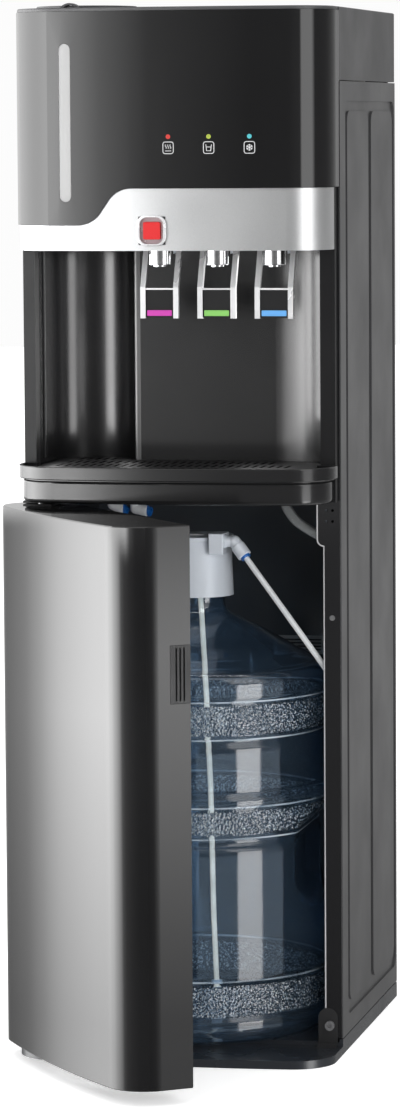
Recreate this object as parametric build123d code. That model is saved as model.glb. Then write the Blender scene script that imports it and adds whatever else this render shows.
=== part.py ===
from build123d import *
import math
import os

os.makedirs("parts", exist_ok=True)

# ---------------------------------------------------------------------------
# Floor-standing water cooler with the bottle in a lower compartment.
# Millimetres, +Z up, +X to the viewer's right, the front faces -Y.
# While the pieces are drawn, Y = 0 is the front edge of the side panels.
# Every piece is moved back by Y_CENTRE when it is written, so that the origin
# is the centre of the footprint, on the floor.
# ---------------------------------------------------------------------------

# driving dimensions
WIDTH = 310.0
SIDE_DEPTH = 303.0
HEIGHT = 1006.5
Y_CENTRE = 109.5

SHEET = 1.4                 # side panel sheet
SKIRT_H = 15.0              # base skirt
PANEL_TOP = 936.3           # top edge of the side panels
BAND_Z0 = 777.6             # underside of the silver band
BAND_Z1 = 836.2             # its top edge, right of the S curve
BAND_ZL = 801.2             # its top edge, left of the S curve
FRONT_Z1 = 1003.0           # top edge of the upper front panel
NICHE_FLOOR = 569.5         # top of the drip grille
RIM_Z = 572.2               # top of the drip tray's rim
TRAY_Z0 = 537.0             # underside of the tray front

# front outlines: half width, apex, bow radius, corner radius
UPPER = (154.5, 70.0, 945.0, 45.0)
BAND = (152.5, 68.0, 943.0, 43.0)
RIM = (154.5, 76.0, 1000.0, 45.0)
TRAY_LOW = (150.6, 72.1, 996.1, 41.1)
DOOR = (154.0, 78.0, 1150.0, 38.0)
SHELF = (155.0, 84.5, 1100.0, 41.0)

# door
DOOR_Z0, DOOR_Z1 = 14.5, 534.0
DOOR_WALL = 3.0
HINGE_X, HINGE_Y = -134.0, -28.0
DOOR_OPEN = 53.0            # degrees open in the rest pose
PIN_R = 2.5

# niche
NICHE_L, NICHE_R, NICHE_BACK = -141.0, 137.0, 75.0
BAY_X, BAY_Y, BAY_R = -102.5, 72.0, 38.5
NICHE_CORNER = 60.0
NOSE_R = 3.0
WALL = 2.2

# taps
TAP_X = (-20.7, 35.3, 91.3)
TAP_NAMES = ("hot", "room", "cold")
NOZZLE_R = 10.8               # chrome sleeve
LIP_R = 6.3                   # inner tube of the nozzle
LEVER_PIVOT = (14.0, 785.0)  # Y, Z

# cup dispenser
CUP_X, CUP_Y, CUP_RO, CUP_RI = -101.0, 42.0, 39.0, 37.4

# water lines: the drain hose's route, and the supply tube's line from its elbow
DRAIN_X, DRAIN_Y = 90.0, 52.0
HOSE = [(DRAIN_X, DRAIN_Y, 541), (DRAIN_X, DRAIN_Y, 528), (101, 44.5, 514), (119.5, 32, 504.5), (144, 16.5, 497)]
KNEE = Vector(41.0, 46.0, 492.2)
AIM = Vector(0.616, -0.221, -0.756).normalized()

# bottle compartment
FLOOR_Z = 12.0
LINER_X = 139.0
LINER_BACK = 231.0
BOT_X, BOT_Y, BOT_R = -5.0, 80.0, 131.0


# ---------------------------------------------------------------------------
# helpers
# ---------------------------------------------------------------------------
def bx(x0, x1, y0, y1, z0, z1):
    return Pos((x0 + x1) / 2, (y0 + y1) / 2, (z0 + z1) / 2) * Box(x1 - x0, y1 - y0, z1 - z0)


def cz(x, y, z0, z1, r):
    return Pos(x, y, (z0 + z1) / 2) * Cylinder(r, z1 - z0)


def cy(x, y0, y1, z, r):
    return Pos(x, (y0 + y1) / 2, z) * Rot(90, 0, 0) * Cylinder(r, y1 - y0)


def cx(x0, x1, y, z, r):
    return Pos((x0 + x1) / 2, y, z) * Rot(0, 90, 0) * Cylinder(r, x1 - x0)


def ring_z(x, y, z0, z1, ro, ri):
    return cz(x, y, z0, z1, ro) - cz(x, y, z0 - 1, z1 + 1, ri)


def ln(a, b):
    return Edge.make_line((a[0], a[1], 0), (b[0], b[1], 0))


def arc3(a, m, b):
    return Edge.make_three_point_arc((a[0], a[1], 0), (m[0], m[1], 0), (b[0], b[1], 0))


def bow_face(spec, y_back):
    """Plan outline: straight back line, straight sides, rounded corners, bowed front."""
    hw, b, rr, r = spec
    ccx = hw - r
    cy0 = -b + rr
    ccy = cy0 - math.sqrt((rr - r) ** 2 - ccx ** 2)
    k = rr / (rr - r)
    tx, ty = ccx * k, cy0 + (ccy - cy0) * k
    a0 = math.atan2(ty - ccy, tx - ccx)
    am = a0 / 2
    mx, my = ccx + r * math.cos(am), ccy + r * math.sin(am)
    if y_back < ccy + 1:
        y_back = ccy + 1
    es = [
        ln((hw, y_back), (hw, ccy)),
        arc3((hw, ccy), (mx, my), (tx, ty)),
        arc3((tx, ty), (0, -b), (-tx, ty)),
        arc3((-tx, ty), (-mx, my), (-hw, ccy)),
        ln((-hw, ccy), (-hw, y_back)),
        ln((-hw, y_back), (hw, y_back)),
    ]
    return Face(Wire(es))


def inset(spec, t):
    return (spec[0] - t, spec[1] - t, spec[2] - t, spec[3] - t)


def prism(face, z0, z1):
    return Solid.extrude(face.moved(Location((0, 0, z0))), Vector(0, 0, z1 - z0))


def front_y(spec, x):
    return -spec[1] + spec[2] - math.sqrt(spec[2] ** 2 - x ** 2)


def niche_face(off, y_front):
    """Plan outline of the niche: cup bay on the left, flat wall, large right corner."""
    xl, xr, yb = NICHE_L + off, NICHE_R - off, NICHE_BACK - off
    r, rn = BAY_R - off, NOSE_R + off
    rc = NICHE_CORNER - off
    ccx, ccy = xr - rc, yb - rc
    s = math.sqrt(0.5)
    # rounded nose between the bay and the flat wall
    nx = BAY_X + math.sqrt((BAY_R + NOSE_R) ** 2 - (NICHE_BACK + NOSE_R - BAY_Y) ** 2)
    ny = NICHE_BACK + NOSE_R
    an = math.atan2(ny - BAY_Y, nx - BAY_X)
    am = (math.pi + an) / 2
    t1 = (BAY_X + r * math.cos(an), BAY_Y + r * math.sin(an))
    ab = (an + math.pi + 1.5 * math.pi) / 2
    nm = (nx + rn * math.cos(ab), ny + rn * math.sin(ab))
    es = [
        ln((xl, y_front), (xl, BAY_Y)),
        arc3((xl, BAY_Y), (BAY_X + r * math.cos(am), BAY_Y + r * math.sin(am)), t1),
        arc3(t1, nm, (nx, yb)),
        ln((nx, yb), (ccx, yb)),
        arc3((ccx, yb), (ccx + rc * s, ccy + rc * s), (xr, ccy)),
        ln((xr, ccy), (xr, y_front)),
        ln((xr, y_front), (xl, y_front)),
    ]
    return Face(Wire(es))


def tube(points, radii, r_out, r_in=0.0):
    """Round tube along straight runs joined by tangent arcs."""
    path = FilletPolyline(*points, radius=radii) if radii else Polyline(*points)
    w = path if isinstance(path, Wire) else Wire(path.edges())
    pl = Plane(origin=w @ 0, z_dir=w % 0)
    body = sweep(pl * Circle(r_out), path=w)
    if r_in:
        body = body - sweep(pl * Circle(r_in), path=w)
    return body


def solids_of(*shapes):
    out = []
    for s in shapes:
        if isinstance(s, (list, tuple)):
            out += solids_of(*s)
        else:
            out += list(s.solids())
    return out


WRITTEN = []


def save(name, *shapes, pose=None):
    sol = solids_of(*shapes)
    if pose is not None:
        sol = [pose * s for s in sol]
    sol = [Pos(0, -Y_CENTRE, 0) * s for s in sol]
    shape = sol[0] if len(sol) == 1 else Compound(sol)
    export_step(shape, "parts/%s.step" % name)
    WRITTEN.append(name)


# ---------------------------------------------------------------------------
# base
# ---------------------------------------------------------------------------
base = prism(bow_face(SHELF, SIDE_DEPTH), 0, 8)
base += bx(-155, 155, 0, SIDE_DEPTH, 7.5, FLOOR_Z)
base -= prism(bow_face(inset(SHELF, 6), SIDE_DEPTH - 6), -1, 4.5)
base -= bx(-149, 149, 6, SIDE_DEPTH - 6, 4, 9)
for xx in (-95, -45, 5, 55, 105):
    base += bx(xx - 1, xx + 1, -60, SIDE_DEPTH - 3, 1, 9 if False else 4.6)
    base += bx(xx - 1, xx + 1, 5, SIDE_DEPTH - 3, 1, 9.2)
for yy in (60, 120, 180, 240):
    base += bx(-150, 150, yy - 1, yy + 1, 1, 9.2)
skirt = bx(-155, 155, 0, SIDE_DEPTH, FLOOR_Z - 0.5, SKIRT_H) - bx(-151.5, 151.5, -1, SIDE_DEPTH - 3, FLOOR_Z - 1, SKIRT_H + 1)
base += skirt
save("base_pan", base)


# ---------------------------------------------------------------------------
# side panels: pressed sheet with two raised pads inside a rounded frame
# ---------------------------------------------------------------------------
def prism_x(y0, y1, z0, z1, r, x0, x1):
    f = Plane.YZ * RectangleRounded(y1 - y0, z1 - z0, r)
    return Pos(x0, (y0 + y1) / 2, (z0 + z1) / 2) * extrude(f, amount=x1 - x0)


def side_panel():
    xo = WIDTH / 2
    z0, z1 = SKIRT_H + 1.0, PANEL_TOP
    xi = xo - SHEET
    dip = 2.2
    p = bx(xi, xo, 0, SIDE_DEPTH, z0, z1)
    # recessed field behind the frame line
    p += prism_x(27, 298, 32, 919, 13, xo - dip - SHEET, xo)
    p -= prism_x(28.4, 296.6, 33.4, 917.6, 11.6, xo - dip, xo + 1)
    # raised pads
    for a, b in ((38, 152), (167, 286)):
        p += prism_x(a, b, 45, 908, 12, xo - dip - SHEET, xo)
        p -= prism_x(a + SHEET, b - SHEET, 45 + SHEET, 908 - SHEET, 10.6, xo - dip - SHEET - 1, xo - SHEET)
    # front flange, with its rounded step below the tray
    p += bx(138, xi + 0.1, 0, 1.2, z0, 500)
    p += bx(131.5, xi + 0.1, 0, 1.2, 500, 536.4)
    p += cy(138, 0, 1.2, 500, 6.5)
    p += bx(148, xi + 0.1, 0, 1.2, 536.4, z1)
    # rear flange
    p += bx(143, xi + 0.1, SIDE_DEPTH - 1.2, SIDE_DEPTH, z0, z1)
    # four small holes and a screw hole in the front flange
    for hx in (140.7, 146.5):
        for hz in (517.3, 527.8):
            p -= cy(hx, -1, 3, hz, 1.3)
    p -= cy(146.1, -1, 3, 424.5, 1.6)
    p -= cy(142.5, -1, 3, 28.5, 2.6)
    return p


right = side_panel()
save("side_panel_right", right)
save("side_panel_left", mirror(right, about=Plane.YZ))

# ---------------------------------------------------------------------------
# back panel with vents, condenser in front of it in the rear recess
# ---------------------------------------------------------------------------
BACK_SEAM = 162.0
back = bx(-151.4, 151.4, 282, 284, BACK_SEAM + 0.3, 937)
for i in range(9):
    back -= Pos(0, 283, 640 + i * 14) * Box(150, 6, 5)
back -= cy(95, 279, 287, 840, 9)
# lower sheet, notched from its top edge for the power module
back_low = bx(-151.4, 151.4, 282, 284, SKIRT_H + 0.2, BACK_SEAM) - bx(-131, -99, 279, 287, 48, BACK_SEAM + 5)
save("back_panel", back, back_low)

# ---------------------------------------------------------------------------
# top cover: flat top with the bowed front edge, rear sides down to the seam
# ---------------------------------------------------------------------------
TOP = (153.6, 69.2, 944.2, 44.1)
top = prism(bow_face(TOP, 0.0), FRONT_Z1 + 0.2, HEIGHT)
top += bx(-154.5, 154.5, 0, SIDE_DEPTH, FRONT_Z1 + 0.2, HEIGHT)
top += bx(152.3, 154.5, 0.7, SIDE_DEPTH, PANEL_TOP + 0.9, FRONT_Z1 + 1)
top += bx(-154.5, -152.3, 0.7, SIDE_DEPTH, PANEL_TOP + 0.9, FRONT_Z1 + 1)
top += bx(-154.5, 154.5, SIDE_DEPTH - 2.2, SIDE_DEPTH, PANEL_TOP + 0.9, FRONT_Z1 + 1)
top = Solid(top.solids()[0].wrapped) if len(top.solids()) == 1 else top
try:
    es = [e for e in top.edges() if e.center().Z > HEIGHT - 0.01]
    top = chamfer(es, 1.0)
except Exception:
    print("top cover: chamfer left out")
top -= cz(CUP_X, CUP_Y, FRONT_Z1 - 5, HEIGHT + 5, CUP_RO + 0.3)
save("top_cover", top)

# ---------------------------------------------------------------------------
# front frame: side pillars and cross bars that carry the front mouldings
# ---------------------------------------------------------------------------
frame = bx(-152.5, NICHE_L, -15, 0, TRAY_Z0, 800.5) + bx(-151.9, NICHE_L, -15, 0, 800, 836)
frame += bx(NICHE_R + 1, 152.5, -15, 0, TRAY_Z0, 836)
frame += bx(NICHE_L - 1, NICHE_R + 2, -4, 0, TRAY_Z0, 543.4)
frame += bx(NICHE_L - 1, NICHE_R + 2, -4, 0, 812, 836)
# screw lugs
frame += bx(-151, -143, -15, 0, 835, 850)
frame += bx(143, 151, -15, 0, 835, 850)
save("front_frame", frame)

# ---------------------------------------------------------------------------
# niche liner: floor, walls, cup bay and ceiling in one moulding
# ---------------------------------------------------------------------------
liner = prism(niche_face(-WALL, 0.0), 541.0, 780.0)
# the top of the moulding runs back to carry the tanks
liner += bx(-151.4, 151.4, 30.0, 282.0, BAND_Z0, 780.0)
liner += bx(-146.0, 146.0, 0.0, 31.0, BAND_Z0, 780.0)
liner -= prism(niche_face(0.0, -5.0), 543.5, BAND_Z0)
for x in TAP_X:
    liner -= bx(x - 23, x + 23, -3, 27, BAND_Z0 - 2, 785)
liner -= cz(CUP_X, CUP_Y, BAND_Z0 - 2, 785, CUP_RO + 0.3)
# upright bead on the left wall and a stop below the front edge
liner += cz(NICHE_L + 0.3, 16, RIM_Z + 2, BAND_Z0 + 0.5, 2.0)
liner -= bx(-160, 160, -20, 0, 530, 800)
# drain spigot under the floor
liner += ring_z(DRAIN_X, DRAIN_Y, 533.0, 541.2, 3.4, 2.2) - cz(DRAIN_X, DRAIN_Y, 541.0, 543, 2.2)
save("niche_liner", liner)

# shelf that closes the compartment and carries the cooling unit
shelf = bx(-151.4, 151.4, 2, 282, 538.0, 540.0)
shelf -= cz(DRAIN_X, DRAIN_Y, 530, 545, 6.0)
shelf -= cz(-70, 100, 530, 545, 3.9) + cz(-95, 108, 530, 545, 3.9)
save("mid_shelf", shelf)


# ---------------------------------------------------------------------------
# upper front panel and silver band, split along the S curve
# ---------------------------------------------------------------------------
def s_region(dz, above):
    """XZ region below (or above) the S curve, drawn on Y = 0."""
    zl, zr = BAND_ZL + dz, BAND_Z1 + dz
    rho = 27.4
    a = math.radians(55)
    xa = -86.0
    p1 = (xa, zl)
    p2 = (xa + rho * math.sin(a), zl + rho * (1 - math.cos(a)))
    m12 = (xa + rho * math.sin(a / 2), zl + rho * (1 - math.cos(a / 2)))
    h = (zr - zl) - 2 * rho * (1 - math.cos(a))
    p3 = (p2[0] + h / math.tan(a), p2[1] + h)
    p4 = (p3[0] + rho * math.sin(a), zr)
    m34 = (p4[0] - rho * math.sin(a / 2), zr - rho * (1 - math.cos(a / 2)))

    def l3(p, q):
        return Edge.make_line((p[0], 0, p[1]), (q[0], 0, q[1]))

    def a3(p, m, q):
        return Edge.make_three_point_arc((p[0], 0, p[1]), (m[0], 0, m[1]), (q[0], 0, q[1]))

    zo = 1100.0 if above else 700.0
    es = [l3((-170, zl), p1), a3(p1, m12, p2), l3(p2, p3), a3(p3, m34, p4), l3(p4, (170, zr)),
          l3((170, zr), (170, zo)), l3((170, zo), (-170, zo)), l3((-170, zo), (-170, zl))]
    f = Face(Wire(es))
    return Solid.extrude(f.moved(Location((0, -120, 0))), Vector(0, 130, 0))


upper_shell = prism(bow_face(UPPER, 0.0), 780, FRONT_Z1) - prism(bow_face(inset(UPPER, 2.5), 5.0), 770, FRONT_Z1 + 5)
upper = upper_shell & s_region(0.5, True)
# screw ears and window and lamp openings
WIN_X0, WIN_X1, WIN_Z0, WIN_Z1 = -103.2, -91.8, 823.7, 972.6
wr = (WIN_X1 - WIN_X0) / 2
win_cut = (bx(WIN_X0, WIN_X1, -90, -40, WIN_Z0 + wr, WIN_Z1 - wr)
           + cy(WIN_X0 + wr, -90, -40, WIN_Z0 + wr, wr) + cy(WIN_X0 + wr, -90, -40, WIN_Z1 - wr, wr))
upper -= win_cut
LED_X = (3.8, 42.6, 81.2)
LED_Z, LED_R = 884.8, 2.2
for x in LED_X:
    upper -= cy(x, -90, -50, LED_Z, LED_R)
upper += bx(-152.3, -146, -6, -0.2, 930, 945) + bx(146, 152.3, -6, -0.2, 930, 945)
save("upper_front_panel", upper)

window = (prism(bow_face(inset(UPPER, 0.7), 0.0), 800, 990) - prism(bow_face(inset(UPPER, 3.4), 5.0), 790, 1000)) & win_cut
save("cup_window", window)

leds = []
for x in LED_X:
    yf = front_y(UPPER, x)
    leds.append(cy(x, yf - 0.5, yf + 7, LED_Z, LED_R))
save("led_lenses", leds)

band_shell = prism(bow_face(BAND, -20.0), BAND_Z0, 850) - prism(bow_face(inset(BAND, 2.4), 5.0), BAND_Z0 + 2.0, 870)
band = band_shell & s_region(0.0, False)
for x in TAP_X:
    band -= bx(x - 23, x + 23, -26, 5, BAND_Z0 - 2, BAND_Z0 + 3)
# push button mount: square opening in front, carrier plate behind
BTN_X, BTN_Z = -13.0, 796.6
band -= bx(BTN_X - 13.2, BTN_X + 13.2, -75, -60, BTN_Z - 13.4, BTN_Z + 13.4)
band += bx(BTN_X - 14.6, BTN_X - 13.0, -66.2, -45, BTN_Z - 9, BTN_Z + 9)
band += bx(BTN_X + 13.0, BTN_X + 14.6, -66.2, -45, BTN_Z - 9, BTN_Z + 9)
band += bx(BTN_X - 14.6, BTN_X + 14.6, -47, -45, BTN_Z - 9, BTN_Z + 9)
save("control_band", band)


def rbox_y(x0, x1, z0, z1, r, y0, y1):
    f = Plane.XZ * RectangleRounded(x1 - x0, z1 - z0, r)
    return Pos((x0 + x1) / 2, y1, (z0 + z1) / 2) * extrude(f, amount=y1 - y0)


bezel = rbox_y(BTN_X - 14.2, BTN_X + 14.2, BTN_Z - 14.5, BTN_Z + 14.5, 9.0, -70.6, -68.2)
bezel = fillet([e for e in bezel.edges() if e.center().Y < -70.5], 1.0)
bezel += rbox_y(BTN_X - 13.0, BTN_X + 13.0, BTN_Z - 13.2, BTN_Z + 13.2, 7.5, -68.3, -61.0)
bezel -= rbox_y(BTN_X - 11.4, BTN_X + 11.4, BTN_Z - 12.6, BTN_Z + 12.6, 7.0, -72, -66.0)
bezel -= rbox_y(BTN_X - 8.3, BTN_X + 8.3, BTN_Z - 8.4, BTN_Z + 8.4, 1.4, -72, -50)
save("button_bezel", bezel)

btn = rbox_y(BTN_X - 8.0, BTN_X + 8.0, BTN_Z - 8.1, BTN_Z + 8.1, 1.2, -69.8, -59.0)
btn += rbox_y(BTN_X - 10.2, BTN_X + 10.2, BTN_Z - 8.6, BTN_Z + 8.6, 1.0, -60.9, -59.0)
save("safety_button", btn)

# ---------------------------------------------------------------------------
# cup dispenser: tube under the top cover, round lid with an arched tab
# ---------------------------------------------------------------------------
ctube = ring_z(CUP_X, CUP_Y, BAND_Z0 + 0.4, HEIGHT - 0.4, CUP_RO, CUP_RI)
ctube += ring_z(CUP_X, CUP_Y, 780.0, 782.0, CUP_RO + 3, CUP_RO - 0.4) & bx(-141.5, -60, 1, 90, 770, 790)
for a in (45, 135, 225, 315):
    dx, dy = math.cos(math.radians(a)), math.sin(math.radians(a))
    ctube += Pos(CUP_X + dx * 36.6, CUP_Y + dy * 36.6, 780.5) * Rot(0, 0, a) * Box(3.0, 6, 3)
save("cup_tube", ctube)

lid = cz(CUP_X, CUP_Y, HEIGHT + 0.1, HEIGHT + 3.6, 48.8)
lid = chamfer([e for e in lid.edges() if e.center().Z > HEIGHT + 3.5], 0.8)
lid += ring_z(CUP_X, CUP_Y, HEIGHT - 11, HEIGHT + 0.3, CUP_RI - 0.5, CUP_RI - 2.2)
TAB_X = CUP_X - 4.4


def tab_edge(x0, z0, xm, zm, x1, z1):
    return Edge.make_three_point_arc((x0, 0, z0), (xm, 0, zm), (x1, 0, z1))


zt = HEIGHT + 0.2
tab_w = Wire([
    tab_edge(TAB_X - 10.4, zt, TAB_X, zt + 5.7, TAB_X + 10.4, zt),
    Edge.make_line((TAB_X + 10.4, 0, zt), (TAB_X + 7.4, 0, zt)),
    tab_edge(TAB_X + 7.4, zt, TAB_X, zt + 3.7, TAB_X - 7.4, zt),
    Edge.make_line((TAB_X - 7.4, 0, zt), (TAB_X - 10.4, 0, zt)),
])
tab = Solid.extrude(Face(tab_w).moved(Location((0, CUP_Y - 52.6, 0))), Vector(0, 8, 0))
lid += tab
save("cup_lid", lid)

# ---------------------------------------------------------------------------
# taps: body, chrome nozzle, pin, swinging lever with paddle and colour strip
# ---------------------------------------------------------------------------
PY, PZ = LEVER_PIVOT
bodies, nozzles, pins, springs = [], [], [], []
for x, nm in zip(TAP_X, TAP_NAMES):
    tb = bx(x - 12.5, x + 12.5, -12, 20, 779, 790)
    tb += bx(x - 8, x + 8, -8, -3, 789, 801)
    tb += cy(x, 19, 34, 786, 5.9)
    tb -= cx(x - 15, x + 15, PY, PZ, 1.55)
    tb -= cz(x, 0, 765, 786, LIP_R)
    # mounting wings resting on the ceiling
    tb += bx(x - 12.5, x - 9, 20, 32, 780, 783) + bx(x + 9, x + 12.5, 20, 32, 780, 783)
    bodies.append(tb)
    nz = ring_z(x, 0, 762.4, 779.0, NOZZLE_R, NOZZLE_R - 1.6)
    nz = chamfer([e for e in nz.edges() if e.center().Z < 762.5 and e.length > 62], 0.5)
    nz += ring_z(x, 0, 762.9, 765.5, NOZZLE_R - 1.0, LIP_R - 0.2)
    nz += ring_z(x, 0, 760.7, 783.0, LIP_R, LIP_R - 1.4)
    nozzles.append(nz)
    pins.append(cx(x - 19.4, x + 19.4, PY, PZ, 1.55))
    springs.append(cy(x, -2.9, 11.4, 796.5, 3.0) - cy(x, -4, 12, 796.5, 2.3))

    # lever frame: two cranked legs and the yoke over the tap body
    legs = None
    pts = [(PY - 3, 799.5), (PY + 3, 799.5), (PY + 3, 779), (PY - 13.4, 740.0), (PY - 13.4, 711.2),
           (PY - 18.7, 711.2), (PY - 18.7, 741.2), (PY - 3, 778)]
    w = Wire([Edge.make_line((0, *pts[i]), (0, *pts[(i + 1) % len(pts)])) for i in range(len(pts))])
    f = Face(w)
    for x0, x1 in ((x - 18.7, x - 13.6), (x + 13.6, x + 18.7)):
        leg = Solid.extrude(f.moved(Location((x0, 0, 0))), Vector(x1 - x0, 0, 0))
        legs = leg if legs is None else legs + leg
    legs += bx(x - 14.2, x + 14.2, PY - 2.5, PY + 2.5, 793.0, 799.5)
    legs += bx(x - 14.2, x + 14.2, PY - 18.2, PY - 15.4, 738.6, 740.2)
    legs -= cx(x - 25, x + 25, PY, PZ, 1.62)
    save("lever_frame_" + nm, legs)
    pad = bx(x - 13.6, x + 13.6, PY - 17.6, PY - 15.4, 712.0, 738.6)
    pad += bx(x - 13.6, x + 13.6, PY - 15.5, PY - 14.0, 712.0, 714.0)
    pad -= bx(x - 12.2, x + 12.2, PY - 19, PY - 16.9, 713.4, 719.2)
    save("lever_paddle_" + nm, pad)
    strip = rbox_y(x - 12.0, x + 12.0, 713.6, 719.0, 0.6, PY - 18.4, PY - 16.9)
    save("lever_strip_" + nm, strip)
springs.append(cy(BTN_X, -58.9, -47.1, BTN_Z, 3.0) - cy(BTN_X, -60, -46, BTN_Z, 2.3))
save("tap_bodies", bodies)
save("tap_nozzles", nozzles)
save("lever_pins", pins)
save("return_springs", springs)

# ---------------------------------------------------------------------------
# drip tray and grille
# ---------------------------------------------------------------------------
def edges_at(shape, z):
    return [e for e in shape.edges() if abs(e.bounding_box().min.Z - z) < 0.01 and abs(e.bounding_box().max.Z - z) < 0.01]


rim = prism(bow_face(RIM, 20.0), 559.6, RIM_Z)
rim = fillet(edges_at(rim, RIM_Z), 1.4)
rim = chamfer(edges_at(rim, 559.6), 0.8)
low = prism(bow_face(TRAY_LOW, 20.0), TRAY_Z0, 558.4)
low = fillet(edges_at(low, TRAY_Z0), 4.0)
low = fillet(edges_at(low, 558.4), 2.4)
tray = rim + low
tray += prism(bow_face(inset(RIM, 5.6), 20.0), 555.0, 560.0)
tray -= bx(-170, 170, -15.4, 40, 500, 600)
cav = prism(bow_face(inset(TRAY_LOW, 3.0), 20.0), 541.0, 600) - bx(-170, 170, -17.6, 40, 500, 700)
cav2 = prism(bow_face(inset(RIM, 3.4), 20.0), 566.9, 600) - bx(-170, 170, -17.6, 40, 500, 700)
basin = prism(niche_face(0.8, -15.5), 544.0, 568.8)
basin -= bx(-142, 139, -4.6, 0.6, 540, 544.6)
tray += basin
tray -= cav
tray -= cav2
tray -= prism(niche_face(3.0, -19.0), 546.4, 567.0)
tray -= prism(niche_face(2.0, -19.0), 566.9, 575)
tray -= bx(-136, 132, -19, -10, 546.4, 575)
save("drip_tray", tray)

gr_face = niche_face(2.6, -18.0)
gr_back = prism(gr_face, 567.0, NICHE_FLOOR) & (Pos(-1.6, -1.6, 0) * prism(gr_face, 560.0, 580.0))
for xx in (-32.0, 18.0, 62.0):
    gr_back += bx(xx - 6, xx + 6, 69.0, NICHE_BACK - 2.6, 567.0, NICHE_FLOOR)
gr_front = prism(bow_face(inset(RIM, 4.0), 20.0), 567.0, NICHE_FLOOR) - bx(-170, 170, -17.9, 40, 500, 700)
gr_front -= bx(-170, -137, -30, 40, 500, 700) + bx(133, 170, -30, 40, 500, 700)
grille = gr_back + gr_front
slots = []
for row_y in (-46.0, -4.0, 38.0):
    n0 = -120 if row_y != -46.0 else -96
    n1 = 106 if row_y != 38.0 else 80
    xx = n0
    while xx <= n1:
        slots.append(Pos(xx, row_y, 568) * Box(3.2, 30, 8))
        xx += 8.0
for xx in (-118, -110, -102, -94, -86):
    slots.append(Pos(xx, 80, 568) * Box(3.2, 30, 8))
grille = grille.cut(*[s for s in solids_of(*slots)]) if hasattr(grille, "cut") else grille - slots
# two finger holes to lift it
save("drip_grille", grille)

# ---------------------------------------------------------------------------
# bottle compartment
# ---------------------------------------------------------------------------
cl = bx(-141, 141, 1.3, LINER_BACK + 2, FLOOR_Z, 538.0) - bx(-LINER_X, LINER_X, 0, LINER_BACK, FLOOR_Z - 1, 540)
VX0, VX1, VZ0, VZ1 = 45.4, 92.8, 363.6, 379.0
cl -= bx(VX0, VX1, LINER_BACK - 5, LINER_BACK + 5, VZ0, VZ1)

# holes for the supply tube and the drain hose, along their lines
hose_o = Vector(*HOSE[-2])
hose_d = (Vector(*HOSE[-1]) - hose_o).normalized()
for o, d, r in ((KNEE, AIM, 3.9), (hose_o, hose_d, 5.8)):
    t = (140 - o.X) / d.X
    cl -= Plane(origin=o + d * t, z_dir=d) * Cylinder(r, 30)
save("compartment_liner", cl)

vg = bx(VX0 - 1.6, VX1 + 1.6, LINER_BACK - 1.6, LINER_BACK, VZ0 - 1.6, VZ1 + 1.6)
vg += bx(VX0 + 0.1, VX1 - 0.1, LINER_BACK - 0.5, LINER_BACK + 1.8, VZ0 + 0.1, VZ1 - 0.1)
for i in range(4):
    zc = VZ0 + 2.6 + i * 3.4
    vg -= bx(VX0 + 1.6, VX1 - 1.6, LINER_BACK - 4, LINER_BACK + 4, zc - 0.9, zc + 0.9)
save("vent_grille", vg)

cb = bx(131.0, 150.0, -1.4, 0, 12.0, 36.0) + cy(140.5, -1.4, 0, 36.0, 9.5)
cb += bx(131.0, 150.0, -9.0, 0, 8.0, 12.2)
cb -= cy(142.5, -3, 3, 28.5, 2.6)
save("corner_bracket", cb)

screws = [cy(146.1, -1.3, 0, 424.5, 2.6) + cy(146.1, -0.1, 6, 424.5, 1.6),
          (cy(142.5, -5.2, -1.4, 28.5, 4.6) + cy(142.5, -1.5, 1.2, 28.5, 2.6)) - cy(142.5, -8, -3.0, 28.5, 2.0)]
save("cabinet_screws", screws)

# hinge brackets: lower one on the base shelf, upper one under the tray
hb_low = bx(-150, -122, -34, 0, 8.0, 11.0) + cz(HINGE_X, HINGE_Y, 10.9, 13.6, 5.5)
hb_low += bx(-150, -122, -2.0, 0, 8.0, 40)
hb_up = bx(-150, -122, -34, 0, 534.6, 536.7)
hb_up += bx(-150, -122, -2.0, 0, 500, 536.7)
save("hinge_brackets", hb_low - cz(HINGE_X, HINGE_Y, 0, 30, PIN_R), hb_up - cz(HINGE_X, HINGE_Y, 520, 540, PIN_R))
save("hinge_pins", cz(HINGE_X, HINGE_Y, 8.0, 24.0, PIN_R), cz(HINGE_X, HINGE_Y, 526.0, 536.7, PIN_R))

# ---------------------------------------------------------------------------
# bottle, probe cap and water lines
# ---------------------------------------------------------------------------
def revolve_profile(pts, arcs=()):
    es = []
    for i in range(len(pts) - 1):
        a, b = pts[i], pts[i + 1]
        if i in arcs:
            m = arcs[i]
            es.append(Edge.make_three_point_arc((a[0], 0, a[1]), (m[0], 0, m[1]), (b[0], 0, b[1])))
        else:
            es.append(Edge.make_line((a[0], 0, a[1]), (b[0], 0, b[1])))
    a, b = pts[-1], pts[0]
    es.append(Edge.make_line((a[0], 0, a[1]), (b[0], 0, b[1])))
    return Solid.revolve(Face(Wire(es)), 360, Axis.Z)


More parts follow.
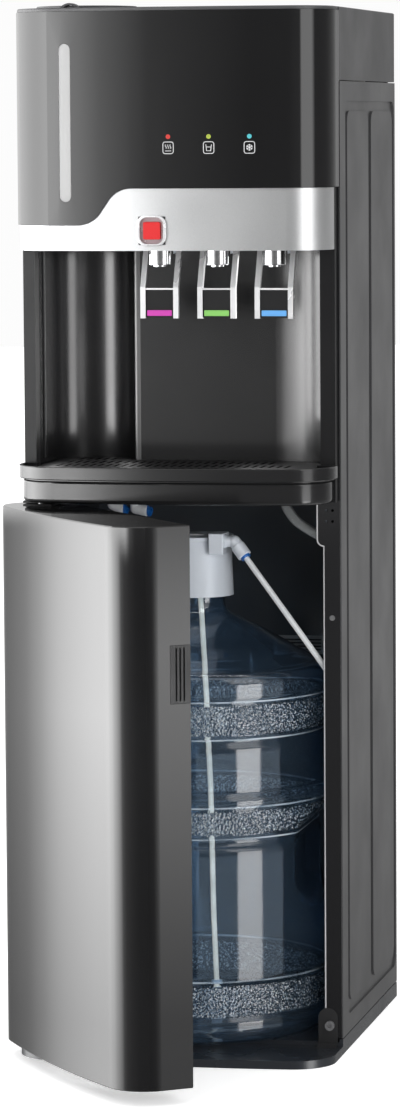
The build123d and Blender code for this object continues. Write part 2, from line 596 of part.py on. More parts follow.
R = BOT_R
bo = [(0, 17), (88, 17), (100, 12.0), (117, 12.0), (R - 1, 26), (R - 1, 36), (R - 3.5, 38.5), (R - 3.5, 70), (R, 73), (R, 203),
      (R - 5, 206), (R - 5, 213), (R - 1, 216), (R - 1, 240), (R + 1, 243), (R + 1, 252), (R - 2.5, 255), (R - 2.5, 302),
      (R - 5, 305), (R - 5, 309), (R - 1, 312), (R - 1, 343), (R + 1, 346), (R + 1, 360), (R - 9, 373.5), (100, 383.5), (33, 420), (28.5, 428),
      (28.5, 482), (25.5, 484), (0, 484)]
arcs_o = {3: (R - 4.5, 16.5), 23: (R - 1.3, 368.7), 25: (66.5, 403.0)}
bt = 1.6
bi = [(0, 17 + bt), (89, 17 + bt), (101, 12 + bt), (116.4, 12 + bt), (R - 1 - bt, 27), (R - 1 - bt, 35.4), (R - 3.5 - bt, 38), (R - 3.5 - bt, 70.6),
      (R - bt, 73.6), (R - bt, 202.4), (R - 5 - bt, 205.4), (R - 5 - bt, 213.6), (R - 1 - bt, 216.6), (R - 1 - bt, 240.6),
      (R + 1 - bt, 243.6), (R + 1 - bt, 251.4), (R - 2.5 - bt, 254.4), (R - 2.5 - bt, 301.4), (R - 5 - bt, 304.4),
      (R - 5 - bt, 309.6), (R - 1 - bt, 312.6), (R - 1 - bt, 343.6), (R + 1 - bt, 346.6), (R + 1 - bt, 359.6), (R - 10, 372.1), (99.4, 381.9), (32, 418.2),
      (28.5 - bt, 427.4), (28.5 - bt, 490), (0, 490)]
arcs_i = {3: (R - 6.0, 17.6), 23: (R - 2.6, 367.7), 25: (65.7, 401.2)}
# hand grip: a scoop pressed into the right side
GRIP_X, GRIP_Z0, GRIP_Z1, GRIP_R = R - 20.0, 136.0, 236.0, 30.0


def scoop(t):
    f = Plane.XZ * RectangleRounded(120.0, GRIP_Z1 - GRIP_Z0 + 2 * t, GRIP_R + t)
    return Pos(GRIP_X - t + 60.0, 200.0, (GRIP_Z0 + GRIP_Z1) / 2) * extrude(f, amount=400.0)


bottle = (revolve_profile(bo, arcs_o) - scoop(0.0)) - (revolve_profile(bi, arcs_i) - scoop(bt))
bottle = Pos(BOT_X, BOT_Y, 0) * bottle
save("water_bottle", bottle)

cap = revolve_profile([(28.7, 437), (37.0, 437), (34.8, 491.6), (36.8, 492.2), (36.8, 495.5), (8.0, 495.5), (8.0, 486.0), (28.7, 486.0)])
cap = Pos(BOT_X, BOT_Y, 0) * cap
# flats round the skirt
for i in range(12):
    a = math.radians(i * 30)
    cap -= (Pos(BOT_X + 38.6 * math.cos(a), BOT_Y + 38.7 * math.sin(a), 465) * Rot(0, 0, i * 30) * Rot(0, -2.3, 0) * Box(3.2, 11, 50))
save("probe_cap", cap)

# probe head on the front right of the cap, with a swivel elbow beside it
ex, ey, ez = 23.6, 46.0, 492.2
ELBOW_R, BARREL_R, TUBE_R = 5.2, 7.0, 2.9


def along(origin, d, a, b, r):
    """Cylinder round the line origin + t * d, from t = a to t = b."""
    return Plane(origin=origin + d * ((a + b) / 2), z_dir=d) * Cylinder(r, b - a)


head = bx(ex - 7.3, ex + 7.3, 38.5, 66, 480.0, 500.3)
head = fillet([e for e in head.edges() if e.center().Y < 38.6], 1.2)
head -= cz(BOT_X, BOT_Y, 470, 510, 37.0)
head += bx(ex - 7.3, ex + 4.0, 45, 66, 495.5, 500.3)
head += cx(ex + 7.2, ex + 9.6, ey, ez, 6.5)
head += cx(ex + 9.5, ex + 17.4, ey, ez, ELBOW_R)
head += Pos(KNEE) * Sphere(6.2)
head += along(KNEE, AIM, 0, 6.0, 6.2)
barrel = along(KNEE, AIM, 4.5, 18.0, BARREL_R)
barrel = fillet(barrel.edges(), 1.2)
head += barrel
head -= along(KNEE, AIM, 11.0, 20.0, TUBE_R + 0.05)
save("probe_elbow", head)

# push-fit collets, and two connectors that hang below the shelf on the left
fits = [along(KNEE, AIM, 18.0, 20.2, 5.0) - along(KNEE, AIM, 17.0, 21.0, TUBE_R + 0.05)]
for fx, fy, fz, tilt in ((-70.0, 100.0, 519.0, 100), (-95.0, 108.0, 522.0, 112)):
    out = Vector(math.sin(math.radians(tilt)), -0.25, math.cos(math.radians(tilt))).normalized()
    f0 = Vector(fx, fy, fz)
    body = cz(fx, fy, fz, 538.0, 5.4) + Pos(f0) * Sphere(5.4) + along(f0, out, 0, 13.0, 5.4)
    body -= along(f0, out, 6.0, 14.0, 3.2)
    fits.append(body)
    fits.append(along(f0, out, 13.0, 17.0, 4.6) - along(f0, out, 12.0, 18.0, 3.2))
save("tube_fittings", fits)

# white supply tube: straight from the elbow through the right wall
t0 = KNEE + AIM * 11.0
WALL_T = (144.2 - t0.X) / AIM.X
supply = along(t0, AIM, 0, WALL_T, TUBE_R) - along(t0, AIM, -1, WALL_T + 1, TUBE_R - 0.9)
save("supply_tube", supply)

# clear silicone hose: out of the shelf, in a bow to the right wall
hose_v = [Vector(*p) for p in HOSE]
hose_r = []
for a, b, c in zip(hose_v, hose_v[1:], hose_v[2:]):
    turn = math.radians((b - a).get_angle(c - b))
    hose_r.append(0.45 * min((b - a).length, (c - b).length) / math.tan(turn / 2))
print("hose radii", [round(r, 1) for r in hose_r])
save("silicone_hose", tube(HOSE, hose_r, 4.8, 3.4))

# dip tube down to the bottle floor, with its weighted foot
dip_pts = [(BOT_X + 1, BOT_Y, 494), (3.5, BOT_Y, 360), (8.5, BOT_Y, 240), (10.5, BOT_Y, 120), (13.5, BOT_Y, 44)]
save("dip_tube", tube(dip_pts, [900, 900, 900], 2.6, 1.5))
dv = (Vector(*dip_pts[-1]) - Vector(*dip_pts[-2])).normalized()
ft = Pos(Vector(*dip_pts[-1]) + dv * 9.0) * (Rot(0, math.degrees(math.atan2(dv.X, dv.Z)), 0) * (Cylinder(5.6, 18.0)))
ft -= Pos(Vector(*dip_pts[-1]) + dv * 14.0) * (Rot(0, math.degrees(math.atan2(dv.X, dv.Z)), 0) * (Cylinder(3.6, 12.0)))
save("dip_foot", ft)

# ---------------------------------------------------------------------------
# cooling unit, tanks, pump and electrics
# ---------------------------------------------------------------------------
TCX, TCY = 66.0, 168.0
cold = cz(TCX, TCY, 812, 942, 52) - cz(TCX, TCY, 813.5, 940.5, 50.5)
cold += cz(TCX, TCY, 941, 952, 9) - cz(TCX, TCY, 930, 960, 5)
save("cold_tank", cold)
coil = ring_z(TCX, TCY, 822, 900, 58.0, 52.0)
save("evaporator_coil", coil)
ins = cz(TCX, TCY, 790, 975, 82) - cz(TCX, TCY, 812, 942, 58.3)
ins -= cz(TCX, TCY, 900, 980, 9.3)
ins -= bx(-20, 150, 250, 290, 780, 990)
ins -= cz(TCX, TCY, 780, 811.9, 20)
ins += bx(TCX - 40, TCX + 40, TCY - 20, TCY + 20, 780.0, 790.1)
save("cold_insulation", ins)

hx_, hy_ = -82.0, 180.0
hot = cz(hx_, hy_, 800, 940, 44) - cz(hx_, hy_, 801.2, 938.8, 42.8)
hot += cz(hx_, hy_, 939, 956, 6) - cz(hx_, hy_, 930, 960, 4)
hot += cz(hx_, hy_, 790, 800.5, 12) + cx(hx_ - 60, hx_ - 43.5, hy_, 870, 5)
hot += bx(hx_ - 30, hx_ - 26, hy_ - 12, hy_ + 12, 780.0, 801) + bx(hx_ + 26, hx_ + 30, hy_ - 12, hy_ + 12, 780.0, 801)
save("hot_tank", hot)
# bridge shelf that carries both tanks behind the niche
comp = cz(62, 200, 556, 660, 62)
comp = fillet([e for e in comp.edges() if e.center().Z > 650], 28)
comp = fillet([e for e in comp.edges() if e.center().Z < 560], 12)
comp += bx(62 - 70, 62 + 70, 186, 214, 548, 557)
comp += cz(62 - 60, 200, 540.0, 549, 8) + cz(62 + 60, 200, 540.0, 549, 8)
comp += cx(118, 132, 200, 620, 4) + cz(62, 200, 655, 676, 4.0)
save("compressor", comp)

pump = bx(-112, -64, 178, 226, 540.0, 548) + cz(-88, 202, 547, 596, 21) + cx(-120, -56, 202, 558, 5)
save("pump", pump)

# serpentine condenser with upright wires, in the rear recess
cr = 2.4
run_x = 118.0
zs = [250 + i * 46 for i in range(14)]
pts = []
for i, z in enumerate(zs):
    if i % 2 == 0:
        pts += [(-run_x, 291.5, z), (run_x, 291.5, z)]
    else:
        pts += [(run_x, 291.5, z), (-run_x, 291.5, z)]
serp = tube(pts, [22.9] * (len(pts) - 2), cr)
wires = []
for i in range(20):
    xw = -104.5 + i * 11
    wires.append(bx(xw - 0.7, xw + 0.7, 294.0, 295.4, 240, 858))
brk = [bx(xb - 5, xb + 5, 284.0, 289.0, zb - 6, zb + 6) + bx(xb - 5, xb + 5, 284.0, 285.6, zb - 12, zb + 12)
       for xb in (-90, 90) for zb in (296, 756)]
save("condenser", serp, wires, brk)

pcb = bx(-8, 92, -56.0, -54.4, 858, 912)
for x in LED_X:
    pcb += bx(x - 3, x + 3, -60.5 if x < 60 else -59.0, -56, LED_Z - 3, LED_Z + 3)
pcb += bx(20, 34, -54.5, -46, 864, 876) + bx(52, 76, -54.5, -50, 866, 900)
pcb += bx(-8, -4, -66.8, -56.0, 858, 864) + bx(88, 92, -62.2, -56.0, 858, 864)
save("control_board", pcb)

# rear module: inlet socket and two rocker switches
mod = bx(-136, -94, 284.0, 286.4, 42, 156) + bx(-130.6, -99.4, 262, 284.2, 48.4, 149.6)
mod -= bx(-127, -103, 268, 290, 56, 78)
for zc in (104.0, 132.0):
    mod -= bx(-126.4, -103.6, 270, 290, zc - 9.4, zc + 9.4)
mod += bx(-120, -119, 268, 280, 64, 70) + bx(-111, -110, 268, 280, 64, 70) + bx(-115.5, -114.5, 268, 280, 66, 72)
save("rear_power_module", mod)
ROCK_Y, ROCK_X = 280.0, -115.0
for nm, zc in (("hot", 132.0), ("cold", 104.0)):
    rk = bx(ROCK_X - 11, ROCK_X + 11, ROCK_Y - 3, ROCK_Y + 6.5, zc - 8.2, zc + 8.2)
    rk -= Pos(ROCK_X, ROCK_Y + 17.5, zc) * Rot(0, 90, 0) * Cylinder(13.0, 30)
    rk += cx(ROCK_X - 11, ROCK_X + 11, ROCK_Y, zc, 3.2)
    rk = Pos(0, ROCK_Y, zc) * Rot(-7, 0, 0) * Pos(0, -ROCK_Y, -zc) * rk
    save("rocker_" + nm, rk)

# ---------------------------------------------------------------------------
# door: drawn closed, written in its open rest pose
# ---------------------------------------------------------------------------
open_pose = Pos(HINGE_X, HINGE_Y, 0) * Rot(0, 0, -DOOR_OPEN) * Pos(-HINGE_X, -HINGE_Y, 0)
ds = prism(bow_face(DOOR, -2.0), DOOR_Z0, DOOR_Z1)
try:
    es = [e for e in ds.edges() if (e.center().Z > DOOR_Z1 - 0.01 or e.center().Z < DOOR_Z0 + 0.01) and e.center().Y < -2.5]
    ds = chamfer(es, 1.0)
except Exception:
    print("door: chamfer left out")
ds -= prism(bow_face(inset(DOOR, DOOR_WALL), 5.0), DOOR_Z0 + DOOR_WALL, DOOR_Z1 - DOOR_WALL)
left_cut = bx(-170, -118, -14, 10, 0, 600)
ds -= left_cut
# the bottle stands in the hollow, so the bottom cap is cut out round it
bottle_cut = cz(BOT_X, BOT_Y, 10, DOOR_Z0 + DOOR_WALL + 2.1, BOT_R + 7.5)
ds -= bottle_cut
# hinge bosses inside the caps
ds += cz(HINGE_X, HINGE_Y, DOOR_Z0 + 2.9, 22.0, 6.5) + cz(HINGE_X, HINGE_Y, 526.5, DOOR_Z1 - 2.9, 6.5)
ds -= cz(HINGE_X, HINGE_Y, 0, 30, PIN_R + 0.06) + cz(HINGE_X, HINGE_Y, 515, 545, PIN_R + 0.06)
# clearance for the lower bracket collar
ds -= cz(HINGE_X, HINGE_Y, 0, 14.6, 7.0)
GX0, GX1, GZ0, GZ1 = -22.5, -2.0, 371.0, 425.0
ds -= bx(150, 156, GX0, GX1 + 1, GZ0, GZ1)
save("door_shell", ds, pose=open_pose)

grip = bx(151.0, 154.3, GX0, GX1, GZ0, GZ1)
try:
    grip = chamfer([e for e in grip.edges() if abs(e.center().X - 154.3) < 0.01 and e.center().Y < -2.5], 0.5)
except Exception:
    print("grip: chamfer left out")
for yc in (-16.3, -12.4, -8.5):
    grip -= bx(152.2, 156, yc - 0.9, yc + 0.9, GZ0 + 2.6, GZ1 - 2.6)
save("door_grip", grip, pose=open_pose)

ip = prism(bow_face(inset(DOOR, DOOR_WALL + 0.4), -4.0), DOOR_Z0 + DOOR_WALL, DOOR_Z1 - DOOR_WALL)
ip -= prism(bow_face(inset(DOOR, DOOR_WALL + 2.4), 5.0), DOOR_Z0 + DOOR_WALL + 2, DOOR_Z1 - DOOR_WALL - 2)
ip -= left_cut
ip -= bottle_cut
ip -= cz(HINGE_X, HINGE_Y, 10, 30, 6.8) + cz(HINGE_X, HINGE_Y, 515, 540, 6.8)
# lip that meets the grip insert
ip += bx(150.4, 151.0, -20, -5, 380, 416)
save("door_inner_panel", ip, pose=open_pose)

mag = bx(140.0, 148.6, -11.0, -4.6, 250, 300)
save("catch_magnet", mag, pose=open_pose)

print(len(WRITTEN), "nodes")
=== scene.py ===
import math

import bmesh
import bpy
import numpy as np
from mathutils import Matrix, Vector


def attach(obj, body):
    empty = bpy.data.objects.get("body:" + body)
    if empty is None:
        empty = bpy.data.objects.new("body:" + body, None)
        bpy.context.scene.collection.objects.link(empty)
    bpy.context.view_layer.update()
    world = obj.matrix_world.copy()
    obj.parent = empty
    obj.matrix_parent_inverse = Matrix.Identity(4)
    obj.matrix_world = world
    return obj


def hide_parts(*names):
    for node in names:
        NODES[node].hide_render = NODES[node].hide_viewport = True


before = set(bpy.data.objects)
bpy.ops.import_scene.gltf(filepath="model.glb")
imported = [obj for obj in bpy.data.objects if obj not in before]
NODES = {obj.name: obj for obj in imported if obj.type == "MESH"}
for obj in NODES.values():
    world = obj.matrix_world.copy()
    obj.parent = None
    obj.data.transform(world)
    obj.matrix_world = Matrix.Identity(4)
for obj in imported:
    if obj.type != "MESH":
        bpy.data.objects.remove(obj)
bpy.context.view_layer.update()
YS = -0.1095                       # the drawing's Y = 0 lies this far behind the origin
scene = bpy.context.scene
scene.view_settings.view_transform = "Standard"
scene.view_settings.look = "None"


def mm(x, y, z):
    return Vector((x / 1000.0, y / 1000.0 + YS, z / 1000.0))


# ---------------------------------------------------------------------------
# materials
# ---------------------------------------------------------------------------
class Mat:
    """A node material with short helpers."""

    def __init__(self, name):
        self.m = bpy.data.materials.new(name)
        self.m.use_nodes = True
        self.nt = self.m.node_tree
        self.nt.nodes.clear()
        self.out = self.nt.nodes.new("ShaderNodeOutputMaterial")
        self.p = self.nt.nodes.new("ShaderNodeBsdfPrincipled")
        self.nt.links.new(self.p.outputs[0], self.out.inputs[0])
        self.tc = self.nt.nodes.new("ShaderNodeTexCoord")

    def set(self, **kw):
        for k, v in kw.items():
            s = self.p.inputs[k.replace("_", " ")]
            if hasattr(s.default_value, "__len__") and len(s.default_value) == 4 and len(v) == 3:
                v = (*v, 1.0)
            s.default_value = v
        return self

    def node(self, kind, **kw):
        n = self.nt.nodes.new(kind)
        for k, v in kw.items():
            if k in n.inputs:
                n.inputs[k].default_value = v
            else:
                setattr(n, k, v)
        return n

    def link(self, a, b):
        self.nt.links.new(a, b)

    def noise(self, scale, detail=3.0, rough=0.5, stretch=None):
        n = self.node("ShaderNodeTexNoise")
        n.inputs["Scale"].default_value = scale
        n.inputs["Detail"].default_value = detail
        n.inputs["Roughness"].default_value = rough
        if stretch:
            mp = self.node("ShaderNodeMapping")
            mp.inputs["Scale"].default_value = stretch
            self.link(self.tc.outputs["Object"], mp.inputs[0])
            self.link(mp.outputs[0], n.inputs["Vector"])
        else:
            self.link(self.tc.outputs["Object"], n.inputs["Vector"])
        return n.outputs["Fac"]

    def ramp(self, fac, a, b, lo=0.3, hi=0.7):
        r = self.node("ShaderNodeMapRange")
        r.inputs["From Min"].default_value = lo
        r.inputs["From Max"].default_value = hi
        r.inputs["To Min"].default_value = a
        r.inputs["To Max"].default_value = b
        self.link(fac, r.inputs["Value"])
        return r.outputs[0]

    def mix(self, fac, a, b):
        r = self.node("ShaderNodeMix")
        r.data_type = "RGBA"
        r.inputs[6].default_value = (*a, 1.0)
        r.inputs[7].default_value = (*b, 1.0)
        self.link(fac, r.inputs[0])
        return r.outputs[2]

    def rough(self, fac, a, b, lo=0.3, hi=0.7):
        self.link(self.ramp(fac, a, b, lo, hi), self.p.inputs["Roughness"])
        return self

    def colour(self, fac, a, b, lo=0.3, hi=0.7):
        self.link(self.mix(self.ramp(fac, 0.0, 1.0, lo, hi), a, b), self.p.inputs["Base Color"])
        return self

    def axis(self, i):
        """The object's own X, Y or Z, in metres."""
        if not hasattr(self, "_sep"):
            self._sep = self.node("ShaderNodeSeparateXYZ")
            self.link(self.tc.outputs["Object"], self._sep.inputs[0])
        return self._sep.outputs[i]

    def math(self, op, a, b=None):
        n = self.node("ShaderNodeMath")
        n.operation = op
        for k, v in enumerate((a, b)):
            if v is None:
                continue
            if isinstance(v, (int, float)):
                n.inputs[k].default_value = v
            else:
                self.link(v, n.inputs[k])
        return n.outputs[0]

    def voronoi(self, scale, feature="F1"):
        n = self.node("ShaderNodeTexVoronoi")
        n.feature = feature
        n.inputs["Scale"].default_value = scale
        self.link(self.tc.outputs["Object"], n.inputs["Vector"])
        return n.outputs["Distance"]

    def pick(self, mask, a, b):
        """Colour or number b where mask is 1, else a; a and b are tuples, numbers or sockets."""
        r = self.node("ShaderNodeMix")
        rgba = isinstance(a, tuple) or (hasattr(a, "type") and a.type == "RGBA")
        r.data_type = "RGBA" if rgba else "FLOAT"
        ia, ib, io = (6, 7, 2) if rgba else (2, 3, 0)
        for k, v in ((ia, a), (ib, b)):
            if isinstance(v, tuple):
                r.inputs[k].default_value = (*v, 1.0)
            elif isinstance(v, (int, float)):
                r.inputs[k].default_value = v
            else:
                self.link(v, r.inputs[k])
        self.link(mask, r.inputs[0])
        return r.outputs[io]

    def bump(self, fac, strength, dist):
        b = self.node("ShaderNodeBump")
        b.inputs["Strength"].default_value = strength
        b.inputs["Distance"].default_value = dist
        if getattr(self, "_bump", None):
            self.link(self._bump, b.inputs["Normal"])
        self.link(fac, b.inputs["Height"])
        self._bump = b.outputs[0]
        self.link(self._bump, self.p.inputs["Normal"])
        return self


def gloss_black(name, base=0.006, r0=0.045, r1=0.10, coat=0.0):
    m = Mat(name).set(IOR=1.5)
    m.colour(m.noise(2.5, 4), (base, base, base * 1.05), (base * 1.8, base * 1.8, base * 1.9))
    m.rough(m.noise(9, 5, 0.6), r0, r1)
    m.bump(m.noise(120, 2), 0.02, 0.0002)
    return m.m


def satin(name, c0, c1, r0, r1, grain=900, gs=0.15, gd=0.0002):
    m = Mat(name)
    m.colour(m.noise(6, 5), c0, c1)
    m.rough(m.noise(14, 4), r0, r1)
    m.bump(m.noise(grain, 3, 0.6), gs, gd)
    return m.m


def metal(name, c0, c1, r0, r1, stretch=(1, 1, 40), scale=30, bump=0.05):
    m = Mat(name).set(Metallic=1.0)
    f = m.noise(scale, 5, 0.6, stretch)
    m.colour(f, c0, c1)
    m.rough(f, r0, r1)
    m.bump(f, bump, 0.0001)
    return m.m


def clear_plastic(name, tint, r0, r1, ior=1.45, trans=1.0):
    m = Mat(name).set(IOR=ior, Transmission_Weight=trans)
    m.colour(m.noise(12, 3), tint, tuple(min(1.0, c * 1.06) for c in tint))
    m.rough(m.noise(25, 4), r0, r1)
    return m


M = {}
M["piano"] = gloss_black("piano_black", 0.005, 0.04, 0.075)
dm = Mat("piano_black_door").set(IOR=1.5)
dm.colour(dm.noise(2.5, 4), (0.006, 0.006, 0.0063), (0.011, 0.011, 0.0115))
# the narrow latch side is duller than the front; it lies at a fixed distance from the hinge line
lat = dm.math("ADD", dm.math("MULTIPLY", dm.math("SUBTRACT", dm.axis(0), -0.134), 0.6018), dm.math("MULTIPLY", dm.math("SUBTRACT", dm.axis(1), -0.1375), -0.7986))
edge_side = dm.math("GREATER_THAN", lat, 0.2862)
dm.link(dm.pick(edge_side, dm.ramp(dm.noise(9, 5, 0.6), 0.03, 0.06), 0.20), dm.p.inputs["Roughness"])
dm.link(dm.pick(edge_side, 0.5, dm.ramp(dm.axis(2), 0.07, 0.24, 0.08, 0.42)), dm.p.inputs["Specular IOR Level"])
dm.bump(dm.noise(120, 2), 0.02, 0.0002)
M["piano_door"] = dm.m
nm_ = Mat("niche_gloss").set(IOR=1.5)
nm_.colour(nm_.noise(2.5, 4), (0.009, 0.009, 0.0095), (0.015, 0.015, 0.0157))
# the rounded nose beside the bay has its own finish, set so that its thin highlight shows
nose = nm_.math("MULTIPLY", nm_.math("LESS_THAN", nm_.math("ABSOLUTE", nm_.math("ADD", nm_.axis(0), 0.0617)), 0.0036), nm_.math("LESS_THAN", nm_.axis(1), -0.0285))
nm_.link(nm_.pick(nose, nm_.ramp(nm_.noise(9, 5, 0.6), 0.20, 0.26), 0.42), nm_.p.inputs["Roughness"])
nm_.link(nm_.pick(nose, 0.5, 1.0), nm_.p.inputs["Specular IOR Level"])
nm_.bump(nm_.noise(120, 2), 0.02, 0.0002)
M["niche"] = nm_.m


def dull_tops(mat, rough, spec):
    """Upward faces get their own duller finish, set so that the reflector cards do not blotch them."""
    nt = mat.node_tree
    p = nt.nodes["Principled BSDF"]
    g = nt.nodes.new("ShaderNodeNewGeometry")
    sx = nt.nodes.new("ShaderNodeSeparateXYZ")
    up = nt.nodes.new("ShaderNodeMath")
    up.operation = "GREATER_THAN"
    up.inputs[1].default_value = 0.80
    nt.links.new(g.outputs["Normal"], sx.inputs[0])
    nt.links.new(sx.outputs[2], up.inputs[0])
    for name, val in (("Roughness", rough), ("Specular IOR Level", spec)):
        inp = p.inputs[name]
        mx = nt.nodes.new("ShaderNodeMix")
        mx.inputs[3].default_value = val
        if inp.is_linked:
            nt.links.new(inp.links[0].from_socket, mx.inputs[2])
        else:
            mx.inputs[2].default_value = inp.default_value
        nt.links.new(up.outputs[0], mx.inputs[0])
        nt.links.new(mx.outputs[0], inp)


dull_tops(M["niche"], 0.50, 0.05)
M["tray"] = gloss_black("tray_gloss", 0.009, 0.10, 0.16)
dull_tops(M["tray"], 0.48, 0.03)
M["liner"] = satin("compartment_gloss", (0.038, 0.044, 0.050), (0.052, 0.058, 0.066), 0.16, 0.26, 700, 0.08, 0.0002)
M["top"] = satin("top_plastic", (0.040, 0.040, 0.042), (0.052, 0.052, 0.054), 0.36, 0.48, 1400, 0.25, 0.0002)
M["base"] = satin("base_plastic", (0.016, 0.018, 0.022), (0.022, 0.025, 0.030), 0.20, 0.32, 1100, 0.15, 0.0002)
M["matte"] = satin("matte_black", (0.010, 0.010, 0.011), (0.018, 0.018, 0.019), 0.42, 0.58, 1500, 0.25, 0.0002)
fr = Mat("frame_black")
fr.colour(fr.noise(6, 4), (0.007, 0.007, 0.0075), (0.011, 0.011, 0.0115))
fr.rough(fr.noise(9, 4), 0.24, 0.34)
fr.link(fr.pick(fr.math("GREATER_THAN", fr.axis(0), 0.05), fr.ramp(fr.noise(14, 3), 0.46, 0.54), 0.16), fr.p.inputs["Specular IOR Level"])
fr.bump(fr.noise(1200, 2), 0.12, 0.0001)
M["frame"] = fr.m
M["paddle"] = satin("paddle_black", (0.009, 0.009, 0.0095), (0.015, 0.015, 0.0155), 0.34, 0.44, 1300, 0.12, 0.0001)
M["paddle"].node_tree.nodes["Principled BSDF"].inputs["Specular IOR Level"].default_value = 0.16
M["vent"] = satin("vent_grey", (0.26, 0.27, 0.28), (0.34, 0.35, 0.36), 0.3, 0.42, 600, 0.10, 0.00015)
M["bracket"] = satin("bracket_enamel", (0.016, 0.016, 0.017), (0.024, 0.024, 0.025), 0.20, 0.30, 600, 0.10, 0.00015)
M["flange"] = satin("flange_enamel", (0.016, 0.016, 0.016), (0.024, 0.024, 0.024), 0.28, 0.4, 600, 0.12, 0.00015)

# side sheet: grey-black enamel outside, gloss black on the flange that turns in at the front
sm = Mat("side_enamel")
flange = sm.math("MULTIPLY", sm.math("LESS_THAN", sm.axis(1), -0.1082), sm.math("LESS_THAN", sm.math("ABSOLUTE", sm.axis(0)), 0.1537))
tone = sm.mix(sm.ramp(sm.noise(5, 5), 0.0, 1.0), (0.040, 0.040, 0.042), (0.050, 0.050, 0.052))
sm.link(sm.pick(flange, tone, (0.010, 0.010, 0.011)), sm.p.inputs["Base Color"])
sm.link(sm.pick(flange, sm.ramp(sm.noise(12, 4), 0.30, 0.40), 0.10), sm.p.inputs["Roughness"])
sm.bump(sm.noise(480, 3), 0.08, 0.00015)
M["side"] = sm.m

sv = Mat("silver_paint").set(Metallic=0.85)
fl = sv.noise(2600, 2, 0.6)
sv.colour(fl, (0.50, 0.505, 0.51), (0.62, 0.625, 0.63))
sv.rough(sv.noise(10, 4), 0.28, 0.36)
sv.bump(fl, 0.05, 0.00008)
M["silver"] = sv.m

# bezel: silver rim; its recess is painted darker and pinker, as painted shade with a painted red cast from the button
bz = Mat("bezel_silver").set(Metallic=0.5)
painted_recess_shade = bz.math("GREATER_THAN", bz.axis(1), -0.1775)
bz.link(bz.pick(painted_recess_shade, bz.mix(bz.ramp(bz.noise(900, 2), 0.0, 1.0), (0.62, 0.62, 0.63), (0.72, 0.72, 0.73)), (0.42, 0.33, 0.34)), bz.p.inputs["Base Color"])
bz.rough(bz.noise(40, 4), 0.22, 0.34)
bz.bump(bz.noise(1800, 2), 0.04, 0.0001)
M["bezel"] = bz.m

M["chrome"] = metal("chrome", (0.62, 0.62, 0.63), (0.78, 0.78, 0.79), 0.08, 0.16, (1, 1, 8), 30, 0.03)
# lever frames: faces turned sideways or upward are painted dark grey, front faces keep the metal's light colour:
# painted shade on the flanks
lv = Mat("satin_metal").set(Metallic=0.55)
ln = lv.node("ShaderNodeNewGeometry")
lx = lv.node("ShaderNodeSeparateXYZ")
lv.link(ln.outputs["Normal"], lx.inputs[0])
painted_shade_flank = lv.math("MAXIMUM", lv.math("GREATER_THAN", lv.math("ABSOLUTE", lx.outputs[0]), 0.72), lv.math("GREATER_THAN", lx.outputs[2], 0.80))
lv.link(lv.pick(painted_shade_flank, lv.mix(lv.ramp(lv.noise(30, 3), 0.0, 1.0), (0.70, 0.70, 0.71), (0.82, 0.82, 0.83)), (0.16, 0.16, 0.165)), lv.p.inputs["Base Color"])
lv.rough(lv.noise(24, 3), 0.26, 0.34)
M["satin_metal"] = lv.m
M["steel"] = metal("steel", (0.45, 0.45, 0.46), (0.62, 0.62, 0.63), 0.22, 0.38)
sp = Mat("spring_steel").set(Metallic=1.0)
coil_w = sp.node("ShaderNodeTexWave")
coil_w.bands_direction = "Y"
coil_w.inputs["Scale"].default_value = 140.0
sp.link(sp.tc.outputs["Object"], coil_w.inputs["Vector"])
sp.colour(coil_w.outputs["Fac"], (0.10, 0.10, 0.10), (0.60, 0.60, 0.61))
sp.rough(sp.noise(60, 3), 0.25, 0.35)
sp.bump(coil_w.outputs["Fac"], 0.6, 0.0006)
M["spring"] = sp.m
M["zinc"] = metal("zinc_sheet", (0.40, 0.41, 0.42), (0.55, 0.56, 0.57), 0.35, 0.5, (1, 1, 1), 40)
M["copper"] = metal("copper_winding", (0.55, 0.26, 0.14), (0.72, 0.36, 0.20), 0.25, 0.4, (1, 1, 60), 40, 0.3)
M["foam"] = satin("foam", (0.72, 0.71, 0.66), (0.82, 0.81, 0.77), 0.8, 0.95, 260, 0.5, 0.001)
M["board"] = satin("board_green", (0.010, 0.07, 0.025), (0.015, 0.10, 0.035), 0.35, 0.5, 500)
M["white"] = satin("white_plastic", (0.60, 0.64, 0.70), (0.68, 0.72, 0.77), 0.28, 0.4, 900, 0.08, 0.0001)
M["red"] = satin("red_button", (0.55, 0.006, 0.008), (0.66, 0.010, 0.012), 0.22, 0.32, 900, 0.06, 0.0001)
M["green"] = satin("green_rocker", (0.012, 0.26, 0.06), (0.018, 0.34, 0.09), 0.25, 0.35, 900, 0.08, 0.0001)
M["strip_hot"] = satin("strip_magenta", (0.52, 0.035, 0.36), (0.60, 0.045, 0.42), 0.25, 0.35, 900, 0.06, 0.0001)
M["strip_room"] = satin("strip_green", (0.20, 0.50, 0.10), (0.24, 0.58, 0.13), 0.25, 0.35, 900, 0.06, 0.0001)
M["strip_cold"] = satin("strip_blue", (0.10, 0.34, 0.70), (0.13, 0.40, 0.78), 0.25, 0.35, 900, 0.06, 0.0001)
M["rubber"] = satin("magnet_rubber", (0.020, 0.016, 0.013), (0.030, 0.024, 0.020), 0.6, 0.8, 700, 0.3, 0.0003)
M["pale"] = satin("cup_tube_plastic", (0.35, 0.35, 0.36), (0.42, 0.42, 0.43), 0.3, 0.45, 900, 0.1, 0.0001)
M["mark"] = satin("print_grey", (0.50, 0.50, 0.51), (0.60, 0.60, 0.61), 0.35, 0.5, 1500, 0.05, 0.00005)
# light grey bead colour: painted highlight along the black flange's inner edge
M["edge"] = satin("edge_bead_painted_highlight", (0.34, 0.34, 0.35), (0.46, 0.46, 0.47), 0.22, 0.34, 700, 0.06, 0.0001)

